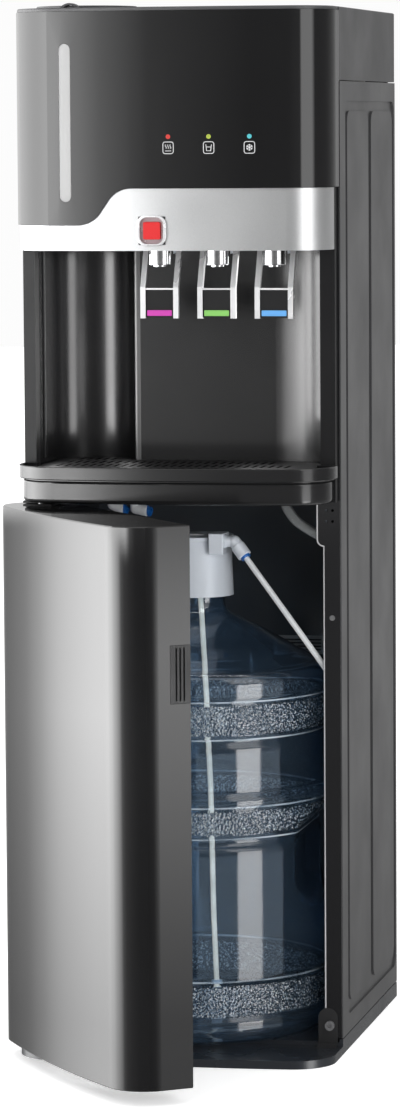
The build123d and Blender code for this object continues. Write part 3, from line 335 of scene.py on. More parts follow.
# fittings: white bodies, blue collets at their ends
fm_ = Mat("fitting_plastic")
blue_a = fm_.math("GREATER_THAN", fm_.axis(0), 0.02)
blue_b = fm_.math("MULTIPLY", fm_.math("GREATER_THAN", fm_.axis(0), -0.0573), fm_.math("LESS_THAN", fm_.axis(0), 0.0))
blue_c = fm_.math("MULTIPLY", fm_.math("GREATER_THAN", fm_.axis(0), -0.0832), fm_.math("LESS_THAN", fm_.axis(0), -0.0765))
blue = fm_.math("MAXIMUM", blue_a, fm_.math("MAXIMUM", blue_b, blue_c))
fm_.link(fm_.pick(blue, fm_.mix(fm_.ramp(fm_.noise(200, 2), 0.0, 1.0), (0.68, 0.69, 0.71), (0.78, 0.79, 0.80)), (0.012, 0.13, 0.46)), fm_.p.inputs["Base Color"])
fm_.rough(fm_.noise(40, 3), 0.26, 0.36)
fm_.bump(fm_.noise(900, 2), 0.06, 0.0001)
M["fittings"] = fm_.m

# screws: bright flange screw, black socket screw at the bottom corner
sc = Mat("screw_metal")
low = sc.math("LESS_THAN", sc.axis(2), 0.10)
sc.link(sc.pick(low, sc.mix(sc.ramp(sc.noise(120, 4), 0.0, 1.0), (0.50, 0.50, 0.51), (0.64, 0.64, 0.65)), (0.14, 0.14, 0.145)), sc.p.inputs["Base Color"])
sc.link(sc.pick(low, 1.0, 0.0), sc.p.inputs["Metallic"])
sc.rough(sc.noise(60, 3), 0.22, 0.34)
sc.bump(sc.noise(400, 3), 0.06, 0.0001)
M["screws"] = sc.m

wm = clear_plastic("smoked_window", (0.46, 0.46, 0.46), 0.05, 0.12, 1.49, 0.20)
M["window"] = wm.m
bm_ = clear_plastic("bottle_blue", (0.66, 0.79, 0.93), 0.02, 0.05, 1.47, 0.990)
zb = bm_.axis(2)
bands = None
for z0_, z1_ in ((0.0400, 0.0690), (0.2175, 0.2390), (0.3135, 0.3415)):
    b_ = bm_.math("MULTIPLY", bm_.math("GREATER_THAN", zb, z0_), bm_.math("LESS_THAN", zb, z1_))
    bands = b_ if bands is None else bm_.math("MAXIMUM", bands, b_)
bm_.bump(bm_.noise(35, 2), 0.08, 0.0015)
# pebbled bands: pale, less clear specks in the cells are painted glints
cells = bm_.voronoi(380, "F1")
painted_speck_glints = bm_.math("MULTIPLY", bands, bm_.math("LESS_THAN", cells, 0.30))
painted_speck_glints = bm_.math("MULTIPLY", painted_speck_glints, bm_.ramp(bm_.noise(160, 3), 0.35, 1.0))
# pale lines at five heights near the profile's rib steps are painted glints on the rib edges
painted_rib_glints = None
for zr in (0.0745, 0.2125, 0.2435, 0.3085, 0.3455):
    r_ = bm_.math("LESS_THAN", bm_.math("ABSOLUTE", bm_.math("SUBTRACT", zb, zr)), 0.0008)
    painted_rib_glints = r_ if painted_rib_glints is None else bm_.math("MAXIMUM", painted_rib_glints, r_)
painted_rib_glints = bm_.math("MULTIPLY", painted_rib_glints, bm_.ramp(bm_.noise(22, 2), 0.10, 0.75))
bright = bm_.math("MAXIMUM", painted_speck_glints, painted_rib_glints)
bm_.link(bm_.pick(bright, (0.58, 0.76, 0.94), (0.86, 0.92, 0.96)), bm_.p.inputs["Base Color"])
bm_.link(bm_.math("SUBTRACT", 0.990, bm_.math("MULTIPLY", bright, 0.62)), bm_.p.inputs["Transmission Weight"])
bm_.bump(bm_.math("MULTIPLY", bands, bm_.voronoi(420, "SMOOTH_F1")), 0.8, 0.0010)
M["bottle"] = bm_.m
hm = clear_plastic("silicone_clear", (0.86, 0.88, 0.88), 0.12, 0.25, 1.41, 0.80)
hm.bump(hm.noise(300, 2), 0.05, 0.0002)
M["silicone"] = hm.m
# dip tube: tinted warm to offset the bottle's blue and given a glow: painted light on a tube that is no lamp
dt = Mat("dip_tube_painted_glow").set(IOR=1.45)
dt.colour(dt.noise(30, 3), (0.90, 0.76, 0.60), (0.96, 0.83, 0.68))
dt.rough(dt.noise(40, 3), 0.22, 0.34)
dt.set(Emission_Color=(1.0, 0.78, 0.58))
dt.link(dt.ramp(dt.noise(60, 3), 0.22, 0.52), dt.p.inputs["Emission Strength"])
M["dip"] = dt.m
tm = Mat("tube_white").set(Transmission_Weight=0.10, IOR=1.45)
tm.colour(tm.noise(30, 3), (0.78, 0.80, 0.82), (0.86, 0.87, 0.88))
tm.rough(tm.noise(40, 3), 0.22, 0.34)
tm.bump(tm.noise(500, 2), 0.04, 0.0001)
M["tube"] = tm.m

# lamp lenses: warm red, yellow green and cyan from left to right
lm = Mat("lens").set(Transmission_Weight=0.25, IOR=1.5)
c2 = lm.math("GREATER_THAN", lm.axis(0), 0.023)
c3 = lm.math("GREATER_THAN", lm.axis(0), 0.062)
n_l = lm.ramp(lm.noise(300, 2), 0.85, 1.0)
c_l = lm.pick(c3, lm.pick(c2, (0.62, 0.06, 0.05), (0.42, 0.50, 0.08)), (0.10, 0.50, 0.55))
lm.link(c_l, lm.p.inputs["Base Color"])
lm.rough(lm.noise(200, 2), 0.08, 0.14)
lm.link(c_l, lm.p.inputs["Emission Color"])
lm.link(lm.math("MULTIPLY", n_l, 0.12), lm.p.inputs["Emission Strength"])
M["lens"] = lm.m


def paint(node, mat):
    o = NODES[node]
    me = o.data
    if not me.materials:
        me.materials.append(mat)
    for s in o.material_slots:
        s.material = mat


for n, k in {
    "base_pan": "base", "side_panel_left": "side", "side_panel_right": "side", "back_panel": "flange", "top_cover": "top",
    "front_frame": "frame", "niche_liner": "niche", "mid_shelf": "zinc", "upper_front_panel": "piano",
    "control_band": "silver", "button_bezel": "bezel", "return_springs": "spring", "cup_window": "window", "cup_tube": "pale",
    "compartment_liner": "liner", "vent_grille": "vent", "corner_bracket": "bracket", "cabinet_screws": "screws",
    "hinge_brackets": "flange", "hinge_pins": "steel", "tap_bodies": "matte", "tap_nozzles": "chrome", "lever_pins": "steel",
    "water_bottle": "bottle", "probe_cap": "white", "probe_elbow": "white", "tube_fittings": "fittings", "supply_tube": "tube",
    "dip_tube": "dip", "dip_foot": "white", "silicone_hose": "silicone", "cold_tank": "steel", "cold_insulation": "foam",
    "evaporator_coil": "copper", "hot_tank": "steel", "pump": "matte", "compressor": "frame", "condenser": "frame",
    "control_board": "board", "rear_power_module": "matte", "door_shell": "piano_door", "door_inner_panel": "matte",
    "door_grip": "matte", "catch_magnet": "rubber", "lever_frame_hot": "satin_metal", "lever_frame_room": "satin_metal",
    "lever_frame_cold": "satin_metal", "lever_paddle_hot": "paddle", "lever_paddle_room": "paddle", "lever_paddle_cold": "paddle",
    "lever_strip_hot": "strip_hot", "lever_strip_room": "strip_room", "lever_strip_cold": "strip_cold", "safety_button": "red",
    "cup_lid": "top", "drip_tray": "tray", "drip_grille": "tray", "rocker_hot": "red", "rocker_cold": "green",
    "led_lenses": "lens",
}.items():
    paint(n, M[k])


# ---------------------------------------------------------------------------
# mesh helpers
# ---------------------------------------------------------------------------
def new_piece(name, me, mat, body="root", smooth=True):
    me.materials.append(mat)
    for p in me.polygons:
        p.use_smooth = smooth
    o = bpy.data.objects.new(name, me)
    scene.collection.objects.link(o)
    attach(o, body)
    return o


def front_y(hb, bow, x):
    """Y of a bowed front, from its apex and its bow radius."""
    return -hb + bow - math.sqrt(bow * bow - x * x)


# ---------------------------------------------------------------------------
# bottle: turned wall with ribs, three pebbled bands and the pressed hand grip
# ---------------------------------------------------------------------------
BX, BY, R = -5.0, 80.0, 131.0
BT = 1.6


def arc_pts(a, m, b, n):
    """n points from a to b on the arc through m, without a."""
    ax, az = a; mx, mz = m; bx_, bz_ = b
    d = 2 * (ax * (mz - bz_) + mx * (bz_ - az) + bx_ * (az - mz))
    ux = ((ax * ax + az * az) * (mz - bz_) + (mx * mx + mz * mz) * (bz_ - az) + (bx_ * bx_ + bz_ * bz_) * (az - mz)) / d
    uz = ((ax * ax + az * az) * (bx_ - mx) + (mx * mx + mz * mz) * (ax - bx_) + (bx_ * bx_ + bz_ * bz_) * (mx - ax)) / d
    t0, tm_, t1 = (math.atan2(p[1] - uz, p[0] - ux) for p in (a, m, b))
    rr = math.hypot(ax - ux, az - uz)
    two = 2 * math.pi
    ccw = ((t1 - t0) % two)
    if ((tm_ - t0) % two) > ccw:
        ccw -= two
    return [(ux + rr * math.cos(t0 + ccw * k / n), uz + rr * math.sin(t0 + ccw * k / n)) for k in range(1, n + 1)]


BANDS = ((39.5, 69.5), (217.0, 239.5), (313.0, 342.0))


def refine(pts, arcs, coarse, fine=None):
    """Profile with its arcs as points and its long runs divided, finer inside the pebbled bands."""
    out = [pts[0]]
    for i in range(len(pts) - 1):
        a, b = pts[i], pts[i + 1]
        if i in arcs:
            out += arc_pts(a, arcs[i], b, 10)
            continue
        ln_ = math.dist(a, b)
        step = coarse
        if fine and abs(a[0] - b[0]) < 0.01:
            for z0, z1 in BANDS:
                if min(a[1], b[1]) < z0 + 2 and max(a[1], b[1]) > z1 - 2:
                    step = fine
        n = max(1, int(round(ln_ / step)))
        out += [(a[0] + (b[0] - a[0]) * k / n, a[1] + (b[1] - a[1]) * k / n) for k in range(1, n + 1)]
    return out


bo = [(0, 17), (88, 17), (100, 12.0), (117, 12.0), (R - 1, 26), (R - 1, 36), (R - 3.5, 38.5), (R - 3.5, 70), (R, 73), (R, 203),
      (R - 5, 206), (R - 5, 213), (R - 1, 216), (R - 1, 240), (R + 1, 243), (R + 1, 252), (R - 2.5, 255), (R - 2.5, 302),
      (R - 5, 305), (R - 5, 309), (R - 1, 312), (R - 1, 343), (R + 1, 346), (R + 1, 360), (R - 9, 373.5), (100, 383.5), (33, 420),
      (28.5, 428), (28.5, 482), (26.9, 483.07)]
bi = [(26.9, 483.07), (26.9, 427.4), (32, 418.2), (99.4, 381.9), (R - 10, 372.1), (R + 1 - BT, 359.6), (R + 1 - BT, 346.6),
      (R - 1 - BT, 343.6), (R - 1 - BT, 312.6), (R - 5 - BT, 309.6), (R - 5 - BT, 304.4), (R - 2.5 - BT, 301.4), (R - 2.5 - BT, 254.4),
      (R + 1 - BT, 251.4), (R + 1 - BT, 243.6), (R - 1 - BT, 240.6), (R - 1 - BT, 216.6), (R - 5 - BT, 213.6), (R - 5 - BT, 205.4),
      (R - BT, 202.4), (R - BT, 73.6), (R - 3.5 - BT, 70.6), (R - 3.5 - BT, 38), (R - 1 - BT, 35.4), (R - 1 - BT, 27), (116.4, 13.6),
      (101, 13.6), (89, 18.6), (0, 18.6)]
outer = refine(bo[1:], {2: (R - 4.5, 16.5), 22: (R - 1.3, 368.7), 24: (66.5, 403.0)}, 3.2, 0.95)
inner_p = refine(bi[:-1], {2: (65.7, 401.2), 4: (R - 2.6, 367.7), 24: (R - 6.0, 17.6)}, 6.0)
SEG = 900


def pebble(u, z, cell, circ):
    """F2 - F1 of seeded points on a grid that closes round the bottle."""
    nu = int(round(circ / cell))
    cu = circ / nu
    nz = 200
    rng = np.random.RandomState(7)
    jx, jz = rng.rand(nu, nz) * 0.8 + 0.1, rng.rand(nu, nz) * 0.8 + 0.1
    iu, iz = np.floor(u / cu).astype(int), np.floor(z / cell).astype(int)
    f1 = np.full(u.shape, 9e9)
    f2 = np.full(u.shape, 9e9)
    for du in (-1, 0, 1):
        for dz in (-1, 0, 1):
            a, b = iu + du, iz + dz
            px = (a + jx[a % nu, b % nz]) * cu
            pz = (b + jz[a % nu, b % nz]) * cell
            d = np.hypot(u - px, z - pz)
            f2 = np.where(d < f1, f1, np.minimum(f2, d))
            f1 = np.minimum(f1, d)
    return np.clip((f2 - f1) / (0.55 * cell), 0, 1)


def smin(a, b, k):
    h = np.clip(0.5 + 0.5 * (b - a) / k, 0, 1)
    return b * (1 - h) + a * h - k * h * (1 - h)


def grip_limit(z, t):
    """How far right the wall may reach at this height, from the hand grip."""
    z0, z1, r = 136.0 - t, 236.0 + t, 30.0 + t
    x = np.full(z.shape, 400.0)
    e = np.minimum(z - z0, z1 - z)
    ins = e > 0
    dx = np.where(e < r, r - np.sqrt(np.maximum(0.0, r * r - (r - np.minimum(e, r)) ** 2)), 0.0)
    return np.where(ins, R - 20.0 - t + dx, x)


th = np.arange(SEG) * 2 * math.pi / SEG
rows, loops = [], []
for prof, t, bumps in ((outer, 0.0, True), (inner_p[1:], BT, False)):
    rr = np.array([p[0] for p in prof])[:, None] * np.ones(SEG)
    zz = np.array([p[1] for p in prof])[:, None] * np.ones(SEG)
    if bumps:
        pb = pebble(np.tile(th, (len(prof), 1)) * R, zz, 3.3, 2 * math.pi * R)
        amp = np.zeros_like(zz)
        for z0, z1 in BANDS:
            amp = np.maximum(amp, np.clip(np.minimum(zz - z0, z1 - zz) / 1.5, 0, 1))
        rr = rr + 1.25 * amp * (1.0 - (1.0 - pb) ** 2) - 0.5 * amp
    x = rr * np.cos(th)
    y = rr * np.sin(th)
    lim = grip_limit(zz, t)
    x = np.where(x > 60, smin(x, lim, 3.0), x)
    rows.append(np.stack([(x + BX) / 1000, (y + BY) / 1000 + YS, zz / 1000], axis=-1))
grid = np.concatenate(rows)
nr = grid.shape[0]
verts = grid.reshape(-1, 3)
i = np.arange(nr - 1)[:, None] * SEG
j = np.arange(SEG)[None, :]
j2 = (j + 1) % SEG
quads = np.stack([i + j, i + j2, i + SEG + j2, i + SEG + j], axis=-1).reshape(-1, 4)
vb, vt = len(verts), len(verts) + 1
verts = np.concatenate([verts, [[BX / 1000, BY / 1000 + YS, 0.017], [BX / 1000, BY / 1000 + YS, 0.0186]]])
faces = [tuple(map(int, q)) for q in quads]
for k in range(SEG):
    faces.append((vb, (k + 1) % SEG, k))
    faces.append((vt, (nr - 1) * SEG + k, (nr - 1) * SEG + (k + 1) % SEG))
bme = bpy.data.meshes.new("bottle_wall")
bme.from_pydata([tuple(map(float, v)) for v in verts], [], faces)
bme.update()
bottle = new_piece("bottle_wall", bme, M["bottle"])
bottle.visible_shadow = False
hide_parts("water_bottle")


# ---------------------------------------------------------------------------
# small front details
# ---------------------------------------------------------------------------
def ribbon(name, lines, width, surf, lift, depth, mat, body="root"):
    """Raised flat lines that follow a bowed front. lines: lists of (x, z) points; surf(x) is the front's Y."""
    vs, fs = [], []
    for ln_ in lines:
        pts = [Vector((p[0], 0, p[1])) for p in ln_]
        closed = (pts[0] - pts[-1]).length < 1e-6
        if closed:
            pts = pts[:-1]
        n = len(pts)
        base = len(vs)
        for k, p in enumerate(pts):
            pa = pts[k - 1] if (k > 0 or closed) else p
            pb_ = pts[(k + 1) % n] if (k < n - 1 or closed) else p
            d = (pb_ - pa).normalized()
            nrm = Vector((-d.z, 0, d.x))
            sc_ = 1.0
            if (k > 0 or closed) and (k < n - 1 or closed):
                c_ = (p - pa).normalized().dot(d)
                sc_ = 1.0 / max(0.5, c_)
            for sgn, dy in ((-1, -lift), (1, -lift), (1, depth), (-1, depth)):
                q = p + nrm * (sgn * width / 2 * sc_)
                vs.append(tuple(mm(q.x, surf(q.x) + dy, q.z)))
        last = n if closed else n - 1
        for k in range(last):
            a, b = base + 4 * k, base + 4 * ((k + 1) % n)
            for e in range(4):
                fs.append((a + e, a + (e + 1) % 4, b + (e + 1) % 4, b + e))
        if not closed:
            fs.append((base + 3, base + 2, base + 1, base))
            e = base + 4 * (n - 1)
            fs.append((e, e + 1, e + 2, e + 3))
    me = bpy.data.meshes.new(name)
    me.from_pydata(vs, [], fs)
    bm = bmesh.new()
    bm.from_mesh(me)
    bmesh.ops.recalc_face_normals(bm, faces=bm.faces)
    bm.to_mesh(me)
    bm.free()
    return new_piece(name, me, mat, body, smooth=False)


def rrect(cx_, cz_, w_, h_, r_, n=6):
    out = []
    for sx, sz, a0 in ((1, 1, 0), (-1, 1, 90), (-1, -1, 180), (1, -1, 270)):
        for k in range(n + 1):
            a = math.radians(a0 + 90 * k / n)
            out.append((cx_ + sx * (w_ / 2 - r_) + r_ * math.cos(a), cz_ + sz * (h_ / 2 - r_) + r_ * math.sin(a)))
    return out + [out[0]]


def up_front(x):
    return front_y(70.0, 945.0, x)


IZ = 874.4
for cx_, kind in ((3.8, "heat"), (42.6, "cup"), (81.2, "flake")):
    lines = [rrect(cx_, IZ, 10.0, 11.0, 2.2)]
    if kind == "heat":
        for dx in (-2.2, 0.0, 2.2):
            lines.append([(cx_ + dx + 0.6 * math.sin(t * math.pi / 4), IZ - 0.9 + t * 0.5) for t in range(9)])
        lines.append([(cx_ - 3.0, IZ - 2.9), (cx_ + 3.0, IZ - 2.9)])
    elif kind == "cup":
        lines.append([(cx_ - 2.7, IZ + 3.0), (cx_ - 1.9, IZ - 3.0), (cx_ + 1.9, IZ - 3.0), (cx_ + 2.7, IZ + 3.0)])
        lines.append([(cx_ - 2.3, IZ + 0.6), (cx_ + 2.3, IZ + 0.6)])
    else:
        for a in (30, 90, 150):
            c_, s_ = math.cos(math.radians(a)), math.sin(math.radians(a))
            lines.append([(cx_ - 3.2 * c_, IZ - 3.2 * s_), (cx_ + 3.2 * c_, IZ + 3.2 * s_)])
            for sg in (-1, 1):
                p = (cx_ + sg * 1.9 * c_, IZ + sg * 1.9 * s_)
                for b in (a + 55, a - 55):
                    lines.append([p, (p[0] + sg * 1.3 * math.cos(math.radians(b)), p[1] + sg * 1.3 * math.sin(math.radians(b)))])
    ribbon("mark_" + kind, lines[:1], 0.7, up_front, 0.12, 0.15, M["mark"])
    ribbon("mark_" + kind + "_sign", lines[1:], 0.6, up_front, 0.10, 0.15, M["mark"])


def tube_curve(name, pts, radius, mat, body="root", res=6):
    cu = bpy.data.curves.new(name, "CURVE")
    cu.dimensions = "3D"
    spn = cu.splines.new("POLY")
    spn.points.add(len(pts) - 1)
    for k, p in enumerate(pts):
        spn.points[k].co = (*mm(*p), 1.0)
    cu.bevel_depth = radius / 1000.0
    cu.bevel_resolution = res
    cu.use_fill_caps = True
    cu.materials.append(mat)
    o = bpy.data.objects.new(name, cu)
    scene.collection.objects.link(o)
    dg = bpy.context.evaluated_depsgraph_get()
    me = bpy.data.meshes.new_from_object(o.evaluated_get(dg))
    bpy.data.objects.remove(o)
    bpy.data.curves.remove(cu)
    me.materials.clear()
    me.name = name
    return new_piece(name, me, mat, body)


# beads down the flange's inner edges, coloured light grey as a painted highlight on the sheet's edge
for sgn, nm in ((1, "right"), (-1, "left")):
    path = [(138.0, -0.2, 17.0), (138.0, -0.2, 493.4)]
    for k in range(1, 10):
        a = math.radians(270 - 10 * k)
        path.append((138.0 + 6.5 * math.cos(a), -0.2, 500.0 + 6.5 * math.sin(a)))
    path.append((131.5, -0.2, 535.6))
    tube_curve("edge_bead_painted_highlight_" + nm, [(sgn * p[0], p[1], p[2]) for p in path], 0.75, M["edge"])


def prism_piece(name, outline, x0, x1, mat, bev=0.35, body="root"):
    """An outline in YZ, drawn out along X, with its edges rounded."""
    n = len(outline)
    vs = [tuple(mm(x0, p[0], p[1])) for p in outline] + [tuple(mm(x1, p[0], p[1])) for p in outline]
    fs = [tuple(range(n)), tuple(range(2 * n - 1, n - 1, -1))]
    fs += [(k, (k + 1) % n, n + (k + 1) % n, n + k) for k in range(n)]
    me = bpy.data.meshes.new(name)
    me.from_pydata(vs, [], fs)
    bm = bmesh.new()
    bm.from_mesh(me)
    bmesh.ops.bevel(bm, geom=list(bm.edges), offset=bev / 1000.0, segments=3, profile=0.5, affect="EDGES", clamp_overlap=True)
    bmesh.ops.recalc_face_normals(bm, faces=bm.faces)
    bm.to_mesh(me)
    bm.free()
    return new_piece(name, me, mat, body)


# white retaining clips that hook over the rear corner of each tap body
for x, nm in ((-20.7, "hot"), (35.3, "room"), (91.3, "cold")):
    prof = [(14.5, 779.0), (14.5, 772.8), (18.5, 772.8), (18.5, 774.6), (16.4, 774.6), (16.4, 777.2), (20.0, 777.2), (20.0, 779.0)]
    prism_piece("tap_clip_" + nm, prof, x + 9.9, x + 13.6, M["white"], 0.3)


# ---------------------------------------------------------------------------
# stage, light and camera
# ---------------------------------------------------------------------------
fme = bpy.data.meshes.new("floor")
bmf = bmesh.new()
bmesh.ops.create_circle(bmf, cap_ends=True, segments=96, radius=14.0)
bmf.to_mesh(fme)
bmf.free()
floor = bpy.data.objects.new("floor", fme)
scene.collection.objects.link(floor)
fm = Mat("floor_pale")
fm.colour(fm.noise(0.8, 3), (0.91, 0.91, 0.91), (0.94, 0.94, 0.94))
fm.rough(fm.noise(4, 3), 0.7, 0.85)
fm.set(Emission_Color=(1.0, 1.0, 1.0), Emission_Strength=0.45)
fme.materials.append(fm.m)
floor.visible_glossy = False

# light walls of the studio, seen only in reflections: brightness by direction, at three heights
RING = {
    "low": [(-180, 0.6), (-160, 0.7), (-126, 0.6), (-120, 1.1), (-115.5, 2.1), (-110, 4.0), (-105, 5.5), (-100, 7.0), (-86, 10.0),
            (-70, 11.0), (-53, 7.5), (-45, 5.0), (-38, 1.6), (-30, 0.7), (-17, 0.35), (0, 0.12), (19, 0.07), (44.5, 0.10), (46, 9.5),
            (66, 9.5), (68, 0.4), (110, 0.4), (140, 0.42), (180, 0.5)],
    "tray": [(-180, 0.6), (-118, 3.1), (-97, 6.5), (-80, 9.5), (-25, 9.5), (-18, 3.5), (-14, 1.3), (-3, 0.35), (4, 0.25), (36, 0.25),
             (44, 1.2), (60, 1.2), (70, 0.08), (110, 0.08), (140, 0.35), (180, 0.5)],
    "mid": [(-180, 0.6), (-118, 4.0), (-100, 9.0), (-85, 14.0), (-60, 13.0), (-47, 7.5), (-34, 4.0), (-23, 1.5), (-16, 0.22), (-9, 0.40),
            (-4, 0.4), (10, 0.2), (44, 0.25), (62, 0.8), (70, 1.2), (80, 0.3), (110, 0.2), (140, 0.4), (180, 0.5)],
    "high": [(-180, 0.6), (-150, 0.9), (-118, 3.1), (-90, 6.0), (-75, 7.0), (-50, 8.0), (-33, 8.9), (-28.4, 8.0), (-27.4, 6.0), (-26, 4.6), (-24, 3.5),
             (-21, 2.1), (-14, 0.62), (-7, 0.36), (0, 0.15), (12, 0.15), (38, 0.3), (42, 3.3), (66, 3.3), (74, 0.2), (108, 0.2),
             (135, 0.38), (180, 0.5)],
}
TOPV = 14.0
rme = bpy.data.meshes.new("light_walls")
bmr = bmesh.new()
NR = 96
lo_r, hi_r = [], []
for k in range(NR):
    a = 2 * math.pi * k / NR
    lo_r.append(bmr.verts.new((2.3 * math.cos(a), 2.3 * math.sin(a), -1.5)))
    hi_r.append(bmr.verts.new((2.3 * math.cos(a), 2.3 * math.sin(a), 3.0)))
for k in range(NR):
    k2 = (k + 1) % NR
    bmr.faces.new((lo_r[k], hi_r[k], hi_r[k2], lo_r[k2]))
bmr.to_mesh(rme)
bmr.free()
ring = bpy.data.objects.new("light_walls", rme)
scene.collection.objects.link(ring)
rm = bpy.data.materials.new("light_walls")
rm.use_nodes = True
nt = rm.node_tree
nt.nodes.clear()
out = nt.nodes.new("ShaderNodeOutputMaterial")
em = nt.nodes.new("ShaderNodeEmission")
tc = nt.nodes.new("ShaderNodeTexCoord")
sep = nt.nodes.new("ShaderNodeSeparateXYZ")
nt.links.new(tc.outputs["Object"], sep.inputs[0])


def nmath(op, a, b=None):
    n = nt.nodes.new("ShaderNodeMath")
    n.operation = op
    for k, v in enumerate((a, b)):
        if v is None:
            continue
        if isinstance(v, (int, float)):
            n.inputs[k].default_value = v
        else:
            nt.links.new(v, n.inputs[k])
    return n.outputs[0]


az = nmath("ARCTAN2", sep.outputs[0], nmath("MULTIPLY", sep.outputs[1], -1.0))
fac = nmath("ADD", nmath("MULTIPLY", az, 1.0 / (2 * math.pi)), 0.5)
lev = {}
for key, stops in RING.items():
    cr = nt.nodes.new("ShaderNodeValToRGB")
    els = cr.color_ramp.elements
    while len(els) < len(stops):
        els.new(0.5)
    for e, (d, v) in zip(els, stops):
        e.position = (d + 180.0) / 360.0
        e.color = (v / TOPV, v / TOPV, v / TOPV, 1)
    nt.links.new(fac, cr.inputs[0])
    lev[key] = cr.outputs[0]


def nblend(lo, hi, a, b):
    mr_ = nt.nodes.new("ShaderNodeMapRange")
    mr_.interpolation_type = "SMOOTHSTEP"
    mr_.inputs["From Min"].default_value = lo
    mr_.inputs["From Max"].default_value = hi
    nt.links.new(sep.outputs[2], mr_.inputs["Value"])
    mx = nt.nodes.new("ShaderNodeMix")
    mx.data_type = "RGBA"
    nt.links.new(mr_.outputs[0], mx.inputs[0])
    nt.links.new(a, mx.inputs[6])
    nt.links.new(b, mx.inputs[7])
    return mx.outputs[2]


shade = nblend(0.64, 0.74, nblend(0.41, 0.47, nblend(0.31, 0.36, lev["low"], lev["tray"]), lev["mid"]), lev["high"])
nt.links.new(shade, em.inputs["Color"])
fade = nt.nodes.new("ShaderNodeMapRange")
for k, v in (("From Min", -0.40), ("From Max", 0.05), ("To Min", 0.62 * TOPV), ("To Max", TOPV)):
    fade.inputs[k].default_value = v
nt.links.new(sep.outputs[2], fade.inputs["Value"])
nt.links.new(fade.outputs[0], em.inputs["Strength"])
nt.links.new(em.outputs[0], out.inputs[0])
rme.materials.append(rm)
ring.visible_camera = False
ring.visible_diffuse = False
ring.visible_transmission = False
ring.visible_volume_scatter = False
ring.visible_shadow = False



def card(name, corners, axis, lo_, hi_, s_lo, s_hi):
    """A one-sided reflector card, seen only in reflections; its brightness runs from s_lo to s_hi along one axis."""
    me = bpy.data.meshes.new(name)
    me.from_pydata([tuple(mm(*c)) for c in corners], [], [(0, 1, 2, 3)])
    o = bpy.data.objects.new(name, me)
    scene.collection.objects.link(o)
    m = bpy.data.materials.new(name)
    m.use_nodes = True
    nt_ = m.node_tree
    nt_.nodes.clear()
    out_ = nt_.nodes.new("ShaderNodeOutputMaterial")
    em_ = nt_.nodes.new("ShaderNodeEmission")
    tr_ = nt_.nodes.new("ShaderNodeBsdfTransparent")
    mx_ = nt_.nodes.new("ShaderNodeMixShader")
    ge_ = nt_.nodes.new("ShaderNodeNewGeometry")
    tc_ = nt_.nodes.new("ShaderNodeTexCoord")
    sp_ = nt_.nodes.new("ShaderNodeSeparateXYZ")
    mr_ = nt_.nodes.new("ShaderNodeMapRange")
    mr_.interpolation_type = "SMOOTHSTEP"
    for k, v in (("From Min", lo_), ("From Max", hi_), ("To Min", s_lo), ("To Max", s_hi)):
        mr_.inputs[k].default_value = v
    nt_.links.new(tc_.outputs["Object"], sp_.inputs[0])
    nt_.links.new(sp_.outputs[axis], mr_.inputs["Value"])
    nt_.links.new(mr_.outputs[0], em_.inputs["Strength"])
    nt_.links.new(ge_.outputs["Backfacing"], mx_.inputs[0])
    nt_.links.new(em_.outputs[0], mx_.inputs[1])
    nt_.links.new(tr_.outputs[0], mx_.inputs[2])
    nt_.links.new(mx_.outputs[0], out_.inputs[0])
    me.materials.append(m)
    o.visible_camera = o.visible_diffuse = o.visible_transmission = o.visible_shadow = False
    return o


# cards that carry the side lights into the niche's bay and round corner
card("card_bay_left", [(-138.6, -8, 590), (-138.6, 60, 590), (-138.6, 60, 768), (-138.6, -8, 768)], 1, -0.1175, -0.055, 8.5, 11.5)
card("card_bay_right", [(-82, 101.5, 590), (-67.5, 82, 590), (-67.5, 82, 768), (-82, 101.5, 768)], 1, -0.0275, -0.008, 7.0, 6.0)
card("card_corner", [(40, 73.6, 608), (112, 73.6, 608), (112, 73.6, 768), (40, 73.6, 768)], 0, 0.055, 0.112, 5.8, 1.5)
# a thin card under the tray that draws the bottle's shoulder and ribs
card("card_bottle", [(-60, -16, 522), (-60, 0, 522), (138, 0, 522), (138, -16, 522)], 0, -0.06, 0.138, 9.0, 9.0)

# world: white behind the object, dimmer on the camera's side, brighter above
w = bpy.data.worlds.new("studio")
scene.world = w
w.use_nodes = True
nt = w.node_tree
nt.nodes.clear()
wo = nt.nodes.new("ShaderNodeOutputWorld")
bg = nt.nodes.new("ShaderNodeBackground")
tc = nt.nodes.new("ShaderNodeTexCoord")
sep = nt.nodes.new("ShaderNodeSeparateXYZ")
nt.links.new(tc.outputs["Generated"], sep.inputs[0])


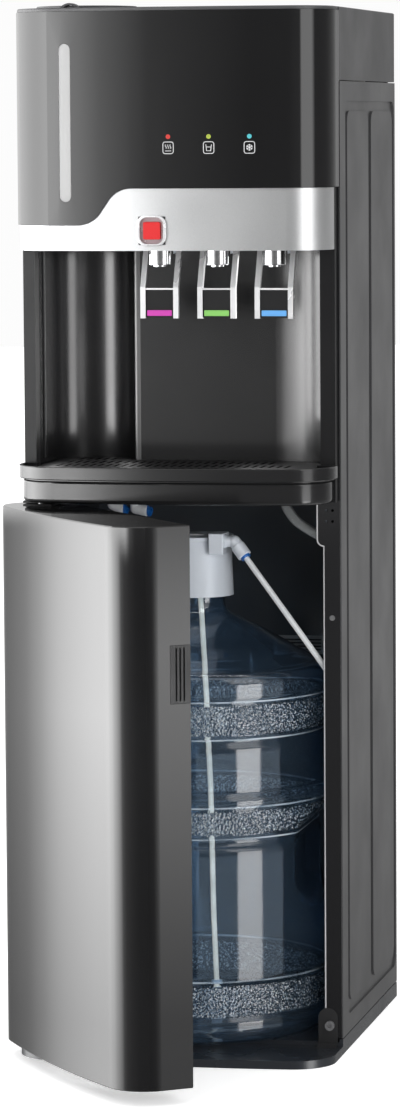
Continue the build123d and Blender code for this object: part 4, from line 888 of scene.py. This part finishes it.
def wrange(src, lo, hi, a, b):
    mr_ = nt.nodes.new("ShaderNodeMapRange")
    mr_.interpolation_type = "SMOOTHSTEP"
    for k, v in (("From Min", lo), ("From Max", hi), ("To Min", a), ("To Max", b)):
        if isinstance(v, (int, float)):
            mr_.inputs[k].default_value = v
        else:
            nt.links.new(v, mr_.inputs[k])
    nt.links.new(src, mr_.inputs["Value"])
    return mr_.outputs[0]


front = wrange(sep.outputs["X"], -0.6, 0.6, 0.72, 0.46)
around = wrange(sep.outputs["Y"], -0.35, 0.35, front, 1.22)
total = wrange(sep.outputs["Z"], 0.35, 0.95, around, 1.6)
nt.links.new(total, bg.inputs["Strength"])
nt.links.new(bg.outputs[0], wo.inputs[0])

ld = bpy.data.lights.new("soft_front", "AREA")
ld.shape = "RECTANGLE"
ld.size, ld.size_y = 0.9, 0.9
ld.energy = 20.0
lo = bpy.data.objects.new("soft_front", ld)
scene.collection.objects.link(lo)
lo.location = (1.15, -2.1, 0.75)
lo.rotation_euler = (Vector((0.02, 0.0, 0.40)) - lo.location).to_track_quat("-Z", "Y").to_euler()
lo.visible_glossy = False
lo.visible_camera = False
lo.visible_transmission = False

# camera
cam_data = bpy.data.cameras.new("camera")
cam = bpy.data.objects.new("camera", cam_data)
scene.collection.objects.link(cam)
yaw, pitch, roll = math.radians(12.3649), math.radians(5.474), math.radians(-0.384)
fwd = Vector((-math.sin(yaw) * math.cos(pitch), math.cos(yaw) * math.cos(pitch), -math.sin(pitch)))
rgt = fwd.cross(Vector((0, 0, 1))).normalized()
upv = rgt.cross(fwd).normalized()
c, s = math.cos(roll), math.sin(roll)
r2 = c * rgt + s * upv
u2 = -s * rgt + c * upv
cam.matrix_world = Matrix((
    (r2.x, u2.x, -fwd.x, 0.948786),
    (r2.y, u2.y, -fwd.y, -4.252590 + YS),
    (r2.z, u2.z, -fwd.z, 0.896171),
    (0, 0, 0, 1),
))
cam_data.sensor_fit = "VERTICAL"
cam_data.sensor_height = 36.0
cam_data.sensor_width = 36.0
cam_data.lens = 4540.63 / 1119.0 * 36.0
cam_data.clip_start = 0.05
cam_data.clip_end = 60.0
scene.camera = cam
